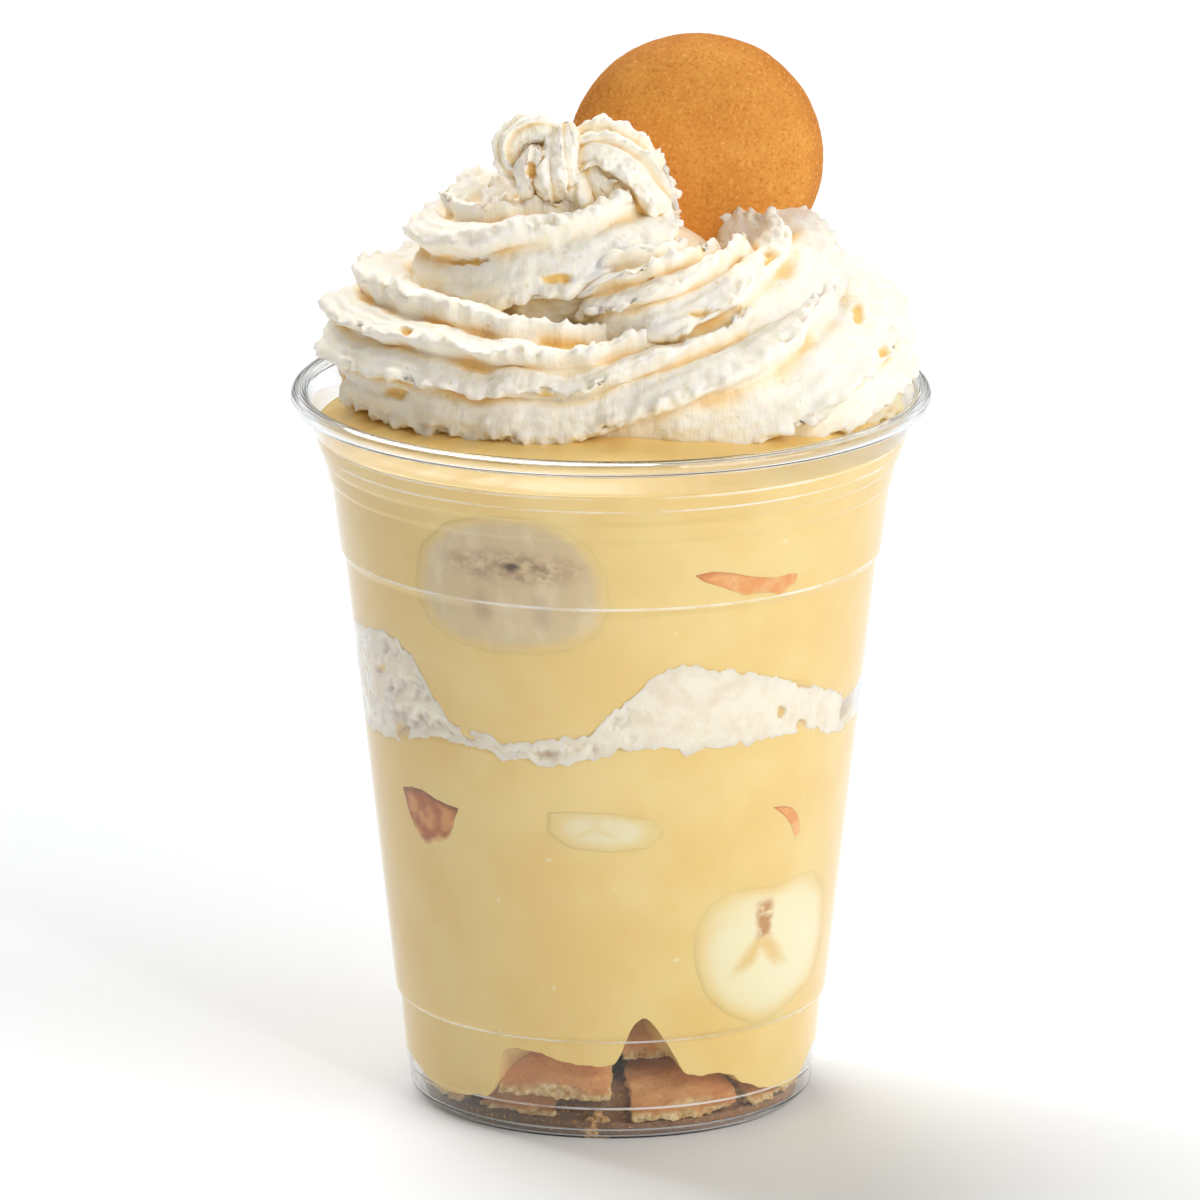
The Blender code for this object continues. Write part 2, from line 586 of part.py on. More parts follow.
def build():
    clear_scene()
    parts = new_collection("banana_pudding")
    scrap = new_collection("cutters", rendered=False)
    finish = {name: finish_material(name) for name in COLOURS}

    cup = turned("cup", cup_profile(), parts, finish["clear_plastic"])
    bake(cup)
    shade(cup, 30.0)

    plug = turned("cup_room", cup_inside(GAP), scrap)
    bake(plug)
    custard = (parts, finish["vanilla_custard"])
    under_band = sheet_rings(CREAM_BAND_FLOOR, BAND_FLOOR_LEVEL)
    lower = layer("custard_lower", CUSTARD_FLOOR, CUSTARD_LEVEL, under_band, BAND_FLOOR_LEVEL, *custard)
    upper = layer("custard_upper", CREAM_BAND_ROOF, BAND_ROOF_LEVEL, crown_rings(), CUSTARD_CROWN, *custard)
    raised = [(a, h + GAP / MM) for a, h in CREAM_BAND_FLOOR]
    lowered = sheet_rings([(a, h - GAP / MM) for a, h in CREAM_BAND_ROOF], BAND_ROOF_LEVEL - GAP)
    cream = (parts, finish["whipped_cream"])
    band = layer("cream_band", raised, BAND_FLOOR_LEVEL + GAP, lowered, BAND_ROOF_LEVEL - GAP, *cream)
    in_lower = new_collection("rooms_in_lower_custard", rendered=False)
    in_upper = new_collection("rooms_in_upper_custard", rendered=False)
    in_band = new_collection("rooms_in_cream_band", rendered=False)
    air_pocket(in_band)
    custard_notch(in_lower)

    for rows, sides, material, uneven in (
        (BANANA, BANANA_SIDES, "banana_flesh", BANANA_UNEVEN),
        (WAFER_CHIPS, CHIP_SIDES, "baked_wafer", CHIP_UNEVEN),
    ):
        for name, azimuth, height, half_width, half_height, depth, roll in rows:
            frame = wall_frame(azimuth, height * MM, roll)
            size = (sides, half_width * MM, half_height * MM, depth * MM, frame)
            host = in_upper if height * MM > BAND_ROOF_LEVEL else in_lower
            blank(name + ".room", *size, host, grow=GAP, uneven=uneven)
            piece = blank(name, *size, parts, material=finish[material], uneven=uneven)
            combine(piece, plug, "INTERSECT")
            shade(piece)

    for row in FLOOR_WAFERS:
        floor_wafer(row, plug, in_lower, scrap, grow=GAP)
        shade(floor_wafer(row, plug, parts, scrap, finish["baked_wafer"]))

    for host, rooms in ((lower, in_lower), (upper, in_upper), (band, in_band)):
        combine(host, rooms, "DIFFERENCE")
        combine(host, plug, "INTERSECT")
        keep_largest_skin(host)
        shade(host)

    frame = top_wafer_frame()
    shade(wafer("wafer_whole", frame, parts, finish["baked_wafer"]))
    slot = wafer("wafer_slot", frame, scrap, grow=GAP)
    shade(cream_swirl(parts, scrap, finish["whipped_cream"], slot), 30.0)
    for helpers in (scrap, in_lower, in_upper, in_band):
        for obj in list(helpers.objects):
            bpy.data.objects.remove(obj)


build()
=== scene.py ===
"""Banana pudding in a clear cup: the looks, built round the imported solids.

Z is up, the cup's axis is the Z axis, and azimuth is measured from -Y towards +X, seen from above.
Shapes are worked out in millimetres and turned to metres when their mesh is made.
"""

import math

import bmesh
import bpy
import numpy as np
from bpy.props import FloatProperty, FloatVectorProperty, IntProperty, PointerProperty
from mathutils import Matrix, Vector, noise


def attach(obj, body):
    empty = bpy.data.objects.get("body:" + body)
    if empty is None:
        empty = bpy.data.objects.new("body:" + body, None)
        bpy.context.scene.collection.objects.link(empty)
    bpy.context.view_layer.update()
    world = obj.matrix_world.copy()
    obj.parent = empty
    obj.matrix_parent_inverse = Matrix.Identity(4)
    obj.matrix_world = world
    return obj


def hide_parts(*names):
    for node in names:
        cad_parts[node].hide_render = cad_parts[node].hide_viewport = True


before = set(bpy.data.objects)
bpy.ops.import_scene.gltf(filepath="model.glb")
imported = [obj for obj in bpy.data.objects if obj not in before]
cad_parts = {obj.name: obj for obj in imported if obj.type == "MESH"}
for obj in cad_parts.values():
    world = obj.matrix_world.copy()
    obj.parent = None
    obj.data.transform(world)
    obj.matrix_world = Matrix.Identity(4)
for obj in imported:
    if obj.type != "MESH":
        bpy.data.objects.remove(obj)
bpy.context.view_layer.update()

bl_info = {
    "name": "Banana Pudding Cup",
    "version": (1, 0, 0),
    "blender": (4, 5, 0),
    "location": "3D View > Sidebar > Pudding",
    "description": "Builds a layered banana pudding in a clear cup round its packed solids",
    "category": "Add Mesh",
}

MM = 0.001
BODY = "root"
TAU = math.tau

# The cup's outside, from the foot to the start of its lip: radius and height in mm
CUP_OUTSIDE = (
    (27.2, 0.0), (29.2, 0.0), (30.7, 1.7), (30.95, 4.6), (31.35, 5.4), (32.35, 16.0), (33.0, 16.8),
    (40.65, 85.2), (41.3, 86.2), (42.7, 97.0), (43.1, 97.6), (43.5, 100.0), (44.0, 100.6), (45.2, 104.0),
)
CUP_WALL = 0.6
STRAIGHT_FROM = 3       # the first point of CUP_OUTSIDE that the inside of the wall runs along
FLOOR_RISE = 1.5
FLOOR_RADIUS = 25.8
FOOT_INSIDE = (27.3, 28.9)
CORNER_INSIDE = (30.1, 1.9)
LIP_CENTRE = (47.45, 109.7)
LIP_CURL = 1.35
LIP_SWEEP = (178.0, -75.0)      # from the wall over the top to the free edge, in degrees
LIP_STEPS = 13
PATH_RADIUS = 1.0       # of the small circle that a section is swept round
AXIS_WELD = 0.00001     # metres within which points at the axis are merged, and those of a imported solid
SOLID_WELD = 0.00002
# Heights of the cup's steps where whitish lines are painted on as highlights, and half the width of each
# line
PAINTED_GLINT_RIDGES = ((16.2, 0.20), (5.3, 0.16), (86.4, 0.22), (102.4, 0.18), (104.6, 0.18))

# How far each filling reaches into the cup's wall, so that no air lies between them
CUSTARD_REACH = 0.2
BAND_REACH = 0.3
SLICE_REACH = 0.3
SLICE_DIVE = 0.3        # their edges dive under the custard by this much
SLICE_POINTS = 180      # points round a slice
SLICE_ROWS = 42         # rows over its face

# Boundaries of the layers at the wall: azimuth in degrees and height in mm
CUSTARD_FOOT = (
    (-86, 7.4), (-78, 7.2), (-72, 6.6), (-66, 5.6), (-60, 4.7), (-53, 4.4), (-47, 4.6), (-42, 5.2),
    (-37, 5.4), (-34, 8.2), (-31.5, 13.0), (-29.5, 14.0), (-26, 14.2), (-18, 13.6), (-8, 12.2), (-2, 12.3),
    (1.0, 12.6), (3.0, 14.4), (4.6, 17.6), (6.6, 19.6), (8.7, 20.5), (11.8, 18.9), (16.1, 14.8),
    (18.8, 12.2), (21, 10.1), (26, 9.7), (31.6, 10.0), (36, 8.8), (40, 7.2), (46, 6.0), (52, 5.1),
    (60, 4.6), (66, 4.9), (71, 7.0), (78, 9.0), (90, 7.0), (104, 7.6), (118, 9.6), (135, 11.0), (152, 8.2),
    (175, 7.2), (196, 9.4), (215, 10.4), (238, 7.6), (256, 6.8),
)
BAND_FOOT = (
    (-78, 59.3), (-68, 59.8), (-58, 60.8), (-50, 62.1), (-41, 62.6), (-34, 62.3), (-26, 61.7), (-21, 61.5),
    (-15, 60.5), (-7, 61.6), (0, 63.0), (9, 64.3), (18, 62.9), (28, 63.3), (39, 63.5), (50, 63.5),
    (66, 60.4), (85, 60.8), (100, 61.5), (135, 58.5), (170, 62.0), (205, 59.0), (245, 61.0), (262, 60.0),
)
BAND_ROOF = (
    (-77, 76.0), (-66, 76.9), (-58, 77.3), (-53, 76.3), (-49, 74.6), (-46, 71.4), (-43, 68.2), (-39, 65.3),
    (-33, 63.6), (-26, 63.2), (-16, 64.7), (-5, 66.2), (2, 70.9), (7.5, 74.3), (12.5, 76.4), (17.5, 77.1),
    (25, 75.4), (35, 74.1), (47, 71.6), (59, 68.2), (68, 65.7), (80, 66.8), (95, 70.5), (110, 74.5),
    (125, 70.5), (140, 66.4), (170, 68.5), (190, 73.5), (205, 76.0), (220, 73.4), (235, 70.4), (260, 73.0),
)
CUSTARD_LEVEL = 10.0    # heights of the boundaries at the axis
BAND_FOOT_LEVEL = 61.0
BAND_ROOF_LEVEL = 71.0
OVERLAP = 1.3           # how far custard runs on behind the ragged edge of the cream band
OVERLAP_SINK = 0.75     # how far it falls back from the wall there
NOTCH_MIDDLE = 9.5      # azimuth of the gap over the upright wafer, and how wide it is inside
NOTCH_SPREAD = 9.0
CROWN_HEIGHT = 109.6    # the custard bulges up under the swirl and falls away to the wall
CROWN_FALL = 16.0
CROWN_SPAN = 60.0
CUSTARD_RIM = 104.75    # height where the custard's top meets the wall
CREEP = 0.45            # how far it creeps up the wall there
FOOT_RING = 31.0        # radii of the rings that the ragged edges are noised along
RIM_RING = 44.0
BAND_RING = 38.0
BAND_LEAST = 2.6        # least height of the cream band
BAND_INSIDE = 0.3       # how far the band's body keeps inside its boundaries at the axis
BAND_BACK = -0.6        # how far its body keeps off the wall
SMOOTH_START = (2.0, 14.0)      # azimuths between which the band starts and ends to lie smooth on the wall
SMOOTH_END = (62.0, 70.0)
POCKET = (76.0, 64.5, 6.0, 3.0, 3.4)    # hole in the band: azimuth, height, half width and height, depth
CUSTARD_STEPS = 640     # points round the cup
BAND_STEPS = 860
SEAM = 0.002            # share of a wall's height that its edge is shaded over
# Shares of the wall's radius where the layers' rows lie: of an inner sheet, and of the custard's top
SHEET_SHARES = (0.08, 0.2, 0.34, 0.48, 0.6, 0.7, 0.78, 0.845, 0.9, 0.94, 0.965, 0.983, 0.994)
TOP_SHARES = (0.995, 0.985, 0.97, 0.95, 0.92, 0.88, 0.83, 0.77, 0.7, 0.62, 0.53, 0.42, 0.3, 0.16)

# Banana slices and chips of wafer held against the wall: azimuth, height, half width, half height, depth
# in mm, roll in degrees, the eye that the outline is seen from, and the outline in shares of the half sizes
ROUND = ((0.0, 0.0), ())
BANANA = (
    ("banana_slice_upper", -23.5, 89.4, 18.4, 12.6, 8.0, 0, (0.05, 0.1), (
        (-0.97, -0.17), (-0.84, 0.4), (-0.53, 0.79), (-0.1, 0.98), (0.29, 1.0), (0.6, 0.86), (0.83, 0.58),
        (0.97, 0.2), (1.0, -0.24), (0.9, -0.62), (0.67, -0.86), (0.31, -0.98), (-0.13, -1.0),
        (-0.55, -0.92), (-0.86, -0.7), (-0.97, -0.46),
    )),
    ("banana_slice_lower", 46.6, 28.4, 16.5, 12.6, 7.5, 0, (0.0, 0.0), (
        (-1.0, 0.17), (-0.98, 0.5), (-0.85, 0.82), (-0.62, 0.95), (-0.38, 0.96), (-0.24, 0.93),
        (-0.06, 0.93), (0.04, 0.96), (0.2, 1.0), (0.55, 0.96), (0.86, 0.62), (0.96, 0.0), (0.91, -0.42),
        (0.74, -0.67), (0.38, -0.83), (0.08, -0.98), (-0.21, -1.0), (-0.52, -0.84), (-0.72, -0.64),
        (-0.87, -0.42), (-0.97, -0.12),
    )),
    ("banana_slice_edge", -1.2, 50.3, 10.2, 3.8, 11.0, 0, (0.0, 0.2), (
        (-0.99, 0.9), (-0.62, 0.99), (0.09, 0.94), (0.81, 0.6), (1.0, -0.09), (0.73, -0.79), (0.09, -1.0),
        (-0.64, -0.8), (-1.0, -0.12),
    )),
    ("banana_slice_back_upper", 150, 90.0, 14.8, 13.2, 8.0, 6, *ROUND),
    ("banana_slice_back_lower", 205, 33.0, 15.0, 12.4, 8.0, -8, *ROUND),
    ("banana_slice_back_edge", 262, 46.0, 11.0, 3.6, 11.0, 5, *ROUND),
)
CHIPS = (
    ("wafer_chip_upper", 29.7, 88.8, 10.6, 3.5, 9.0, 0, (0.1, -0.05), (
        (-1.0, 0.9), (-0.65, 1.0), (-0.3, 0.82), (-0.08, 0.62), (0.24, 0.36), (0.54, 0.2), (0.8, 0.26),
        (1.0, 0.18), (0.91, -0.53), (0.81, -1.0), (0.6, -0.62), (0.25, -0.47), (-0.05, -0.5), (-0.45, 0.07),
        (-0.82, 0.5),
    )),
    ("wafer_chip_left", -49, 48.8, 7.3, 5.3, 8.0, 0, (0.0, 0.1), (
        (-1.0, 0.83), (-0.6, 0.98), (-0.2, 1.0), (0.34, 0.79), (1.0, 0.69), (0.84, 0.2), (0.69, -0.3),
        (0.3, -0.77), (-0.31, -1.0), (-0.59, -0.58), (-0.79, -0.01),
    )),
    ("wafer_chip_right", 46.9, 48.6, 3.9, 3.7, 5.0, 0, (0.46, 0.22), (
        (-1.0, 1.0), (-0.3, 0.92), (0.21, 0.72), (0.6, 0.36), (0.88, -0.12), (1.0, -0.95), (0.65, -1.0),
        (0.3, -0.25), (0.06, 0.1), (-0.28, 0.46),
    )),
    ("wafer_chip_back_upper", 205, 91.0, 8.0, 2.6, 8.0, 6, (0.0, 0.0), (
        (-1.0, 0.5), (-0.2, 0.7), (0.6, 0.9), (1.0, 0.2), (0.7, -0.9), (0.1, -0.7), (-0.6, -0.8),
    )),
    ("wafer_chip_back_lower", 128, 44.0, 6.4, 4.4, 8.0, -18, (0.0, 0.0), (
        (-1.0, 0.6), (0.1, 0.95), (0.9, 0.5), (0.7, -0.5), (0.2, -1.0), (-0.6, -0.6),
    )),
)
# Broken wafers on the floor: middle azimuth, then the whole wafer's reach, level and two tilts
FLOOR_WAFERS = (
    ("wafer_piece_left", -68.0, 11.5, 0.0, -3, 2),
    ("wafer_piece_pale", -32.0, 11.0, -1.0, 2, 3),
    ("wafer_piece_front", -17.25, 12.2, 5.2, -3, 3),
    ("wafer_piece_centre", 23.25, 11.8, 0.6, -7, -5),
    ("wafer_piece_upright", 13.25, 9.0, 13.0, 0, 30),
    ("wafer_piece_right", 63.5, 11.8, 0.2, 3, 3),
    ("wafer_piece_back_a", 107.0, 11.8, 1.2, -4, 2),
    ("wafer_piece_back_b", 152.0, 12.0, 3.0, 3, -3),
    ("wafer_piece_back_c", 199.0, 11.8, 1.6, 5, 2),
    ("wafer_piece_back_d", 248.0, 11.6, 0.4, -3, 4),
)
WAFER_RADIUS = 19.2
WAFER_THICK = 9.0
WAFER_EDGE = 0.2        # height of the widest part of a wafer, as a share of its thickness
WAFER_VOXEL = 0.34      # size of the faces of a broken wafer
TOP_WAFER_AT = (13.1, 15.5, 142.5)
TOP_WAFER_LEAN = 7.0
TOP_WAFER_TURN = 4.0
# Where loose crumbs lie: first and last azimuth, then nearest and farthest reach and level in mm
CRUMB_BEDS = (
    (-8.0, -1.0, 26.4, 28.4, 0.6), (-7.5, -1.5, 26.6, 28.4, 1.5), (-6.5, -2.5, 26.8, 28.2, 2.4),
    (38.0, 52.0, 18.0, 27.0, 0.9), (-52.0, -44.0, 22.0, 28.0, 0.9), (160.0, 250.0, 10.0, 12.0, 0.9),
)
CRUMB_BED_STEPS = 8
# The bed of soaked crumbs: reach and level of its underside
BED_BASE = ((6.0, 2.14), (14.0, 2.14), (22.0, 2.14), (25.6, 2.14), (27.4, 0.65), (28.6, 0.65))
BED_REACHES = (28.9, 3.0, 44)   # its top runs between these reaches, in this many rows
BED_STEPS = 240
BED_HEAP = 4.6          # how high it heaps up inside this reach
BED_FROM = 27.6

# Coils of the swirl: turn angle in degrees, reach, height, girth in mm and twist in degrees
SWIRL_AXIS = (0.0, 6.0)
LOWER_COIL = (
    (-182, 19.0, 113.2, 3.0, -34), (-170, 23.4, 114.6, 8.0, -30), (-150, 27.4, 115.6, 10.8, -22),
    (-130, 29.6, 116.4, 11.4, -16), (-90, 32.8, 117.2, 12.2, -8), (-60, 29.8, 117.0, 12.0, -3),
    (-40, 27.2, 115.8, 12.0, 2), (-20, 25.6, 114.8, 11.2, 8), (0, 24.5, 114.5, 10.8, 24),
    (20, 26.0, 114.6, 11.2, 48), (45, 29.5, 115.0, 12.2, 82), (90, 33.8, 115.4, 13.2, 146),
    (130, 28.0, 117.0, 12.6, 190), (170, 23.5, 118.0, 11.0, 220), (200, 21.0, 118.0, 6.0, 240),
)
UPPER_COIL = (
    (-14, 15.0, 127.5, 1.0, -30), (-8, 15.6, 127.5, 5.5, -24), (2, 16.8, 127.2, 8.6, -6),
    (25, 20.0, 125.6, 10.4, 34), (45, 22.6, 125.0, 10.7, 72), (60, 24.5, 125.0, 10.7, 98),
    (90, 26.0, 125.5, 10.8, 138), (135, 22.5, 127.0, 11.4, 180), (180, 20.0, 128.6, 12.0, 210),
    (225, 20.5, 129.0, 11.6, 232), (270, 21.5, 128.8, 11.0, 248), (315, 15.0, 130.6, 10.6, 266),
    (350, 11.0, 132.0, 9.8, 284), (385, 9.0, 133.4, 8.4, 300), (410, 8.0, 134.6, 6.0, 314),
)
# Name, table, rings along it, turn of its star in degrees and seed of its noise
COILS = (("swirl_lower_coil", LOWER_COIL, 460, -8.0, 51), ("swirl_upper_coil", UPPER_COIL, 380, -5.0, 61))
COIL_POINTS = 208       # points round a coil's rope
STROKE_SEED = 71
# The heap of cream inside the coils, and half its width, depth and height
CORE_MIDDLE = (0.0, 7.0, 117.0)
CORE_HALF = (24.0, 19.0, 18.0)
# Short strokes on top: name, rings, points, teeth, and then x, y, z, girth in mm and twist in degrees
STROKES = (
    ("swirl_curl", 110, 120, 5, (
        (-11.6, 0.6, 141.5, 1.6, 0), (-13.4, 0.4, 144.0, 2.5, 15), (-14.9, 0.4, 145.8, 2.8, 30),
        (-15.1, 0.5, 147.9, 2.9, 45), (-14.0, 0.7, 149.6, 2.8, 60), (-11.9, 0.9, 150.2, 2.7, 75),
        (-9.9, 1.1, 149.6, 2.4, 90), (-9.0, 1.2, 148.2, 1.2, 105),
    )),
    ("swirl_bud", 90, 110, 4, (
        (-12.6, -1.0, 140.6, 1.8, 0), (-12.4, -2.0, 143.0, 3.1, 25), (-12.0, -2.2, 145.4, 3.2, 50),
        (-11.2, -1.6, 147.6, 2.6, 75), (-10.6, -1.0, 148.8, 1.1, 100),
    )),
    ("swirl_fold", 90, 120, 5, (
        (-8.8, 0.0, 139.6, 1.8, 0), (-8.6, -1.8, 142.2, 3.2, 25), (-8.0, -2.2, 145.0, 3.6, 50),
        (-7.2, -1.4, 148.2, 3.4, 75), (-6.6, -0.4, 150.6, 2.6, 100), (-6.4, 0.4, 152.0, 1.0, 115),
    )),
    ("swirl_heart", 100, 130, 5, (
        (-4.6, 3.6, 135.0, 5.4, 0), (-4.0, 3.0, 139.0, 7.4, 30), (-3.0, 2.4, 143.0, 6.8, 60),
        (-2.2, 2.0, 146.2, 4.8, 90), (-1.8, 1.8, 148.0, 1.6, 110),
    )),
    ("swirl_comb", 150, 170, 7, (
        (-7.0, 3.0, 145.6, 2.0, 0), (-4.4, 2.0, 147.0, 4.6, 14), (-1.0, 1.4, 147.0, 5.4, 28),
        (1.8, 1.2, 144.6, 6.0, 42), (3.6, 1.2, 141.4, 6.4, 56), (4.6, 1.6, 137.8, 6.4, 70),
        (5.0, 2.4, 134.2, 5.2, 84), (5.2, 3.2, 131.2, 3.0, 98),
    )),
)

VIEW_SLOPE = 0.264      # how far a point further back seems higher in the front view
# Spots where custard is smeared into the cream: x and height in the front view, half width, half height
SWIRL_SMEARS = (
    (37.5, 122.1, 0.8, 1.7), (-42.1, 112.0, 1.6, 1.0), (-32.5, 109.6, 1.7, 0.9), (-31.1, 119.4, 0.9, 0.7),
    (-8.4, 127.3, 2.2, 0.7), (-21.5, 130.1, 3.0, 0.5), (-9.9, 109.3, 1.6, 0.9), (-7.2, 117.1, 4.0, 0.5),
    (24.0, 131.0, 0.9, 1.6), (-12.2, 144.6, 0.8, 1.3), (41.5, 116.4, 0.8, 1.0), (14.0, 122.0, 2.6, 0.5),
)
BAND_SMEARS = (
    (28.9, 64.4, 1.5, 0.8), (28.8, 57.4, 0.7, 1.1), (-31.5, 56.6, 0.8, 1.4), (25.5, 59.6, 0.4, 0.9),
    (-22.0, 56.4, 0.5, 0.6), (-34.5, 66.5, 0.5, 0.6),
)

# One tooth of the piping star, going up: its share of the tooth and its height from groove to crest
TOOTH = (
    (0.0, 1.0), (0.05, 0.90), (0.11, 0.32), (0.18, 0.0), (0.30, 0.17), (0.45, 0.40), (0.52, 0.42),
    (0.66, 0.64), (0.74, 0.68), (0.90, 0.93), (1.0, 1.0),
)
TOOTH_UNEVEN = 0.28     # how far teeth differ in width

VIEW_ELEVATION = 14.807
VIEW_DISTANCE = 2661.5
VIEW_TARGET = (-1.68, 0.0, 77.09)
VIEW_PIXELS = 17436.0   # focal length in pixels of the 1200 pixel image
IMAGE_SIDE = 1200.0
SENSOR = 36.0
FLOOR_HALF = 4.0        # half the side of the studio floor, in metres
# Lamps of the studio: name, where the light comes from, how wide it is in degrees and its strength
LAMPS = (
    ("key_right", (0.95, -0.70, 0.60), 50.0, 1.45),
    ("top_left_back", (-0.34, 0.62, 1.0), 40.0, 2.20),
    ("glint_left_back", (-0.60, 0.50, 0.62), 5.0, 0.30),
    ("glint_front", (0.45, -0.85, 0.62), 4.0, 0.30),
)
WORLD_STRENGTH = 0.55


def linear(hex_colour):
    """The linear colour, with alpha, of an sRGB hex value."""
    channels = [int(hex_colour[i:i + 2], 16) / 255.0 for i in (1, 3, 5)]
    return (*[c / 12.92 if c <= 0.04045 else ((c + 0.055) / 1.055) ** 2.4 for c in channels], 1.0)


# Shapes

def heading(azimuths):
    """Level unit vectors that point out of the cup at these azimuths in degrees."""
    a = np.radians(azimuths)
    return np.stack([np.sin(a), -np.cos(a), np.zeros_like(a)], axis=-1)


def round_steps(count):
    """Even azimuths in degrees, once round the cup."""
    return np.arange(count) * 360.0 / count


def ripple(points, size, seed):
    """Noise from about -1 to 1 at each point, with lumps size mm wide."""
    shift = Vector((17.3 * seed, -5.1 * seed, 29.7 * seed))
    scaled = np.asarray(points, float).reshape(-1, 3) / size
    values = np.array([noise.noise(Vector(p) + shift) for p in scaled])
    return values.reshape(np.shape(points)[:-1])


def layered(points, seed, *layers):
    """Layers of noise added up, each an amount and the width of its lumps in mm, with a seed of its own."""
    return sum(amount * ripple(points, size, seed + k) for k, (amount, size) in enumerate(layers))


def ease(value, start, end):
    """0 at start, 1 at end and smooth between them."""
    t = np.clip((value - start) / (end - start), 0.0, 1.0)
    return t * t * (3.0 - 2.0 * t)


def height_round(table, azimuths, blur):
    """The table's heights round the cup, with corners eased over blur degrees."""
    rows = np.array(table, float)
    values = np.interp(azimuths, rows[:, 0], rows[:, 1], period=360.0)
    width = max(1, round(blur / 360.0 * len(azimuths)))
    kernel = np.hanning(2 * width + 3)[1:-1]
    padded = np.concatenate([values[-width:], values, values[:width]])
    return np.convolve(padded, kernel / kernel.sum(), "valid")


def along_table(table, angles):
    """Smooth values of a coil's table at these angles: reach, height, girth and twist."""
    rows = np.array(table, float)
    slopes = np.gradient(rows[:, 1:], rows[:, 0], axis=0)
    i = np.clip(np.searchsorted(rows[:, 0], angles, "right") - 1, 0, len(rows) - 2)
    span = (rows[i + 1, 0] - rows[i, 0])[:, None]
    t = (angles - rows[i, 0])[:, None] / span
    return (
        (2 * t**3 - 3 * t**2 + 1) * rows[i, 1:] + (t**3 - 2 * t**2 + t) * slopes[i] * span
        + (3 * t**2 - 2 * t**3) * rows[i + 1, 1:] + (t**3 - t**2) * slopes[i + 1] * span
    )


def inside_wall():
    """Radii and heights of the cup's inner wall, from its corner up to the lip."""
    rows = [CORNER_INSIDE, *[(r - CUP_WALL, z) for r, z in CUP_OUTSIDE[STRAIGHT_FROM:]]]
    rows.append((LIP_CENTRE[0] - LIP_CURL, LIP_CENTRE[1]))
    return np.array(rows).T


def wall_radius(heights):
    """Radius of the cup's inner wall at these heights."""
    radii, levels = inside_wall()
    return np.interp(heights, levels, radii)


def at_wall(azimuths, heights, reach):
    """Points that lie reach mm inside the cup's wall, measured from its inner face."""
    return heading(azimuths) * (wall_radius(heights) + reach)[..., None] + up(heights)


def up(heights):
    """Vectors that point straight up, as long as these heights."""
    heights = np.asarray(heights, float)
    return np.stack([np.zeros_like(heights), np.zeros_like(heights), heights], axis=-1)


def finish_mesh(name, points, faces):
    """A mesh from points in mm, with its faces turned outwards."""
    mesh = bpy.data.meshes.new(name)
    mesh.from_pydata((np.asarray(points) * MM).tolist(), [], faces)
    mesh.update()
    if signed_volume(mesh) < 0:
        mesh.flip_normals()
    mesh.shade_smooth()
    return mesh


def signed_volume(mesh):
    """Six times a mesh's volume, below 0 where its faces are turned inwards."""
    mesh.calc_loop_triangles()
    corners = np.empty(len(mesh.loop_triangles) * 3, np.int32)
    mesh.loop_triangles.foreach_get("vertices", corners)
    tri = read_points(mesh)[corners.reshape(-1, 3)]
    return np.einsum("ij,ij->i", tri[:, 0], np.cross(tri[:, 1], tri[:, 2])).sum()


def read_points(mesh, what="co"):
    """A mesh's points or other vectors, as rows of numbers."""
    values = np.empty(len(mesh.vertices) * 3, np.float32)
    mesh.vertices.foreach_get(what, values)
    return values.reshape(-1, 3).astype(float)


def write_points(mesh, points):
    """Moves a mesh's points."""
    mesh.vertices.foreach_set("co", np.asarray(points, np.float32).ravel())
    mesh.update()


def read_value(mesh, name):
    """The values of an attribute on the points of a mesh."""
    values = np.empty(len(mesh.vertices), np.float32)
    mesh.attributes[name].data.foreach_get("value", values)
    return values.astype(float)


def write_value(mesh, name, values):
    """Stores values on the points of a mesh for its material."""
    attribute = mesh.attributes.get(name) or mesh.attributes.new(name, "FLOAT", "POINT")
    attribute.data.foreach_set("value", np.asarray(values, np.float32).ravel())


def skin(name, rows, tips):
    """A closed mesh over rows of points that each go once round, with a tip at each end."""
    rows = np.asarray(rows)
    count, around = rows.shape[:2]
    i = np.arange(around)
    j = (i + 1) % around
    faces = []
    for k in range(count - 1):
        low, high = k * around, (k + 1) * around
        faces.extend(np.stack([low + i, low + j, high + j, high + i], axis=1).tolist())
    foot, peak = count * around, count * around + 1
    last = (count - 1) * around
    faces.extend([(foot, b, a) for a, b in zip(i.tolist(), j.tolist())])
    faces.extend([(last + a, last + b, peak) for a, b in zip(i.tolist(), j.tolist())])
    return finish_mesh(name, np.vstack([rows.reshape(-1, 3), np.asarray(tips, float)]), faces)


def new_object(name, mesh, material):
    """Shows a mesh in the scene, with its material."""
    obj = bpy.data.objects.new(name, mesh)
    bpy.context.scene.collection.objects.link(obj)
    mesh.materials.clear()
    mesh.materials.append(material)
    return obj


def hand_over(obj, slot, *nodes):
    """Makes the piece ride on the cup's body and stand for its CAD nodes, which it hides. Its slot is not
    used.
    """
    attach(obj, BODY)
    if nodes:
        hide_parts(*nodes)


# Trees of nodes

def add(tree, kind, values=None, **settings):
    """Adds a node with its settings. A value is a number, a colour, a socket to link from, or a node whose
    first output is linked."""
    made = tree.nodes.new(kind)
    for key, value in settings.items():
        setattr(made, key, value)
    for key, value in (values or {}).items():
        if isinstance(value, bpy.types.Node):
            value = value.outputs[0]
        if isinstance(value, bpy.types.NodeSocket):
            tree.links.new(value, made.inputs[key])
        else:
            made.inputs[key].default_value = value
    return made


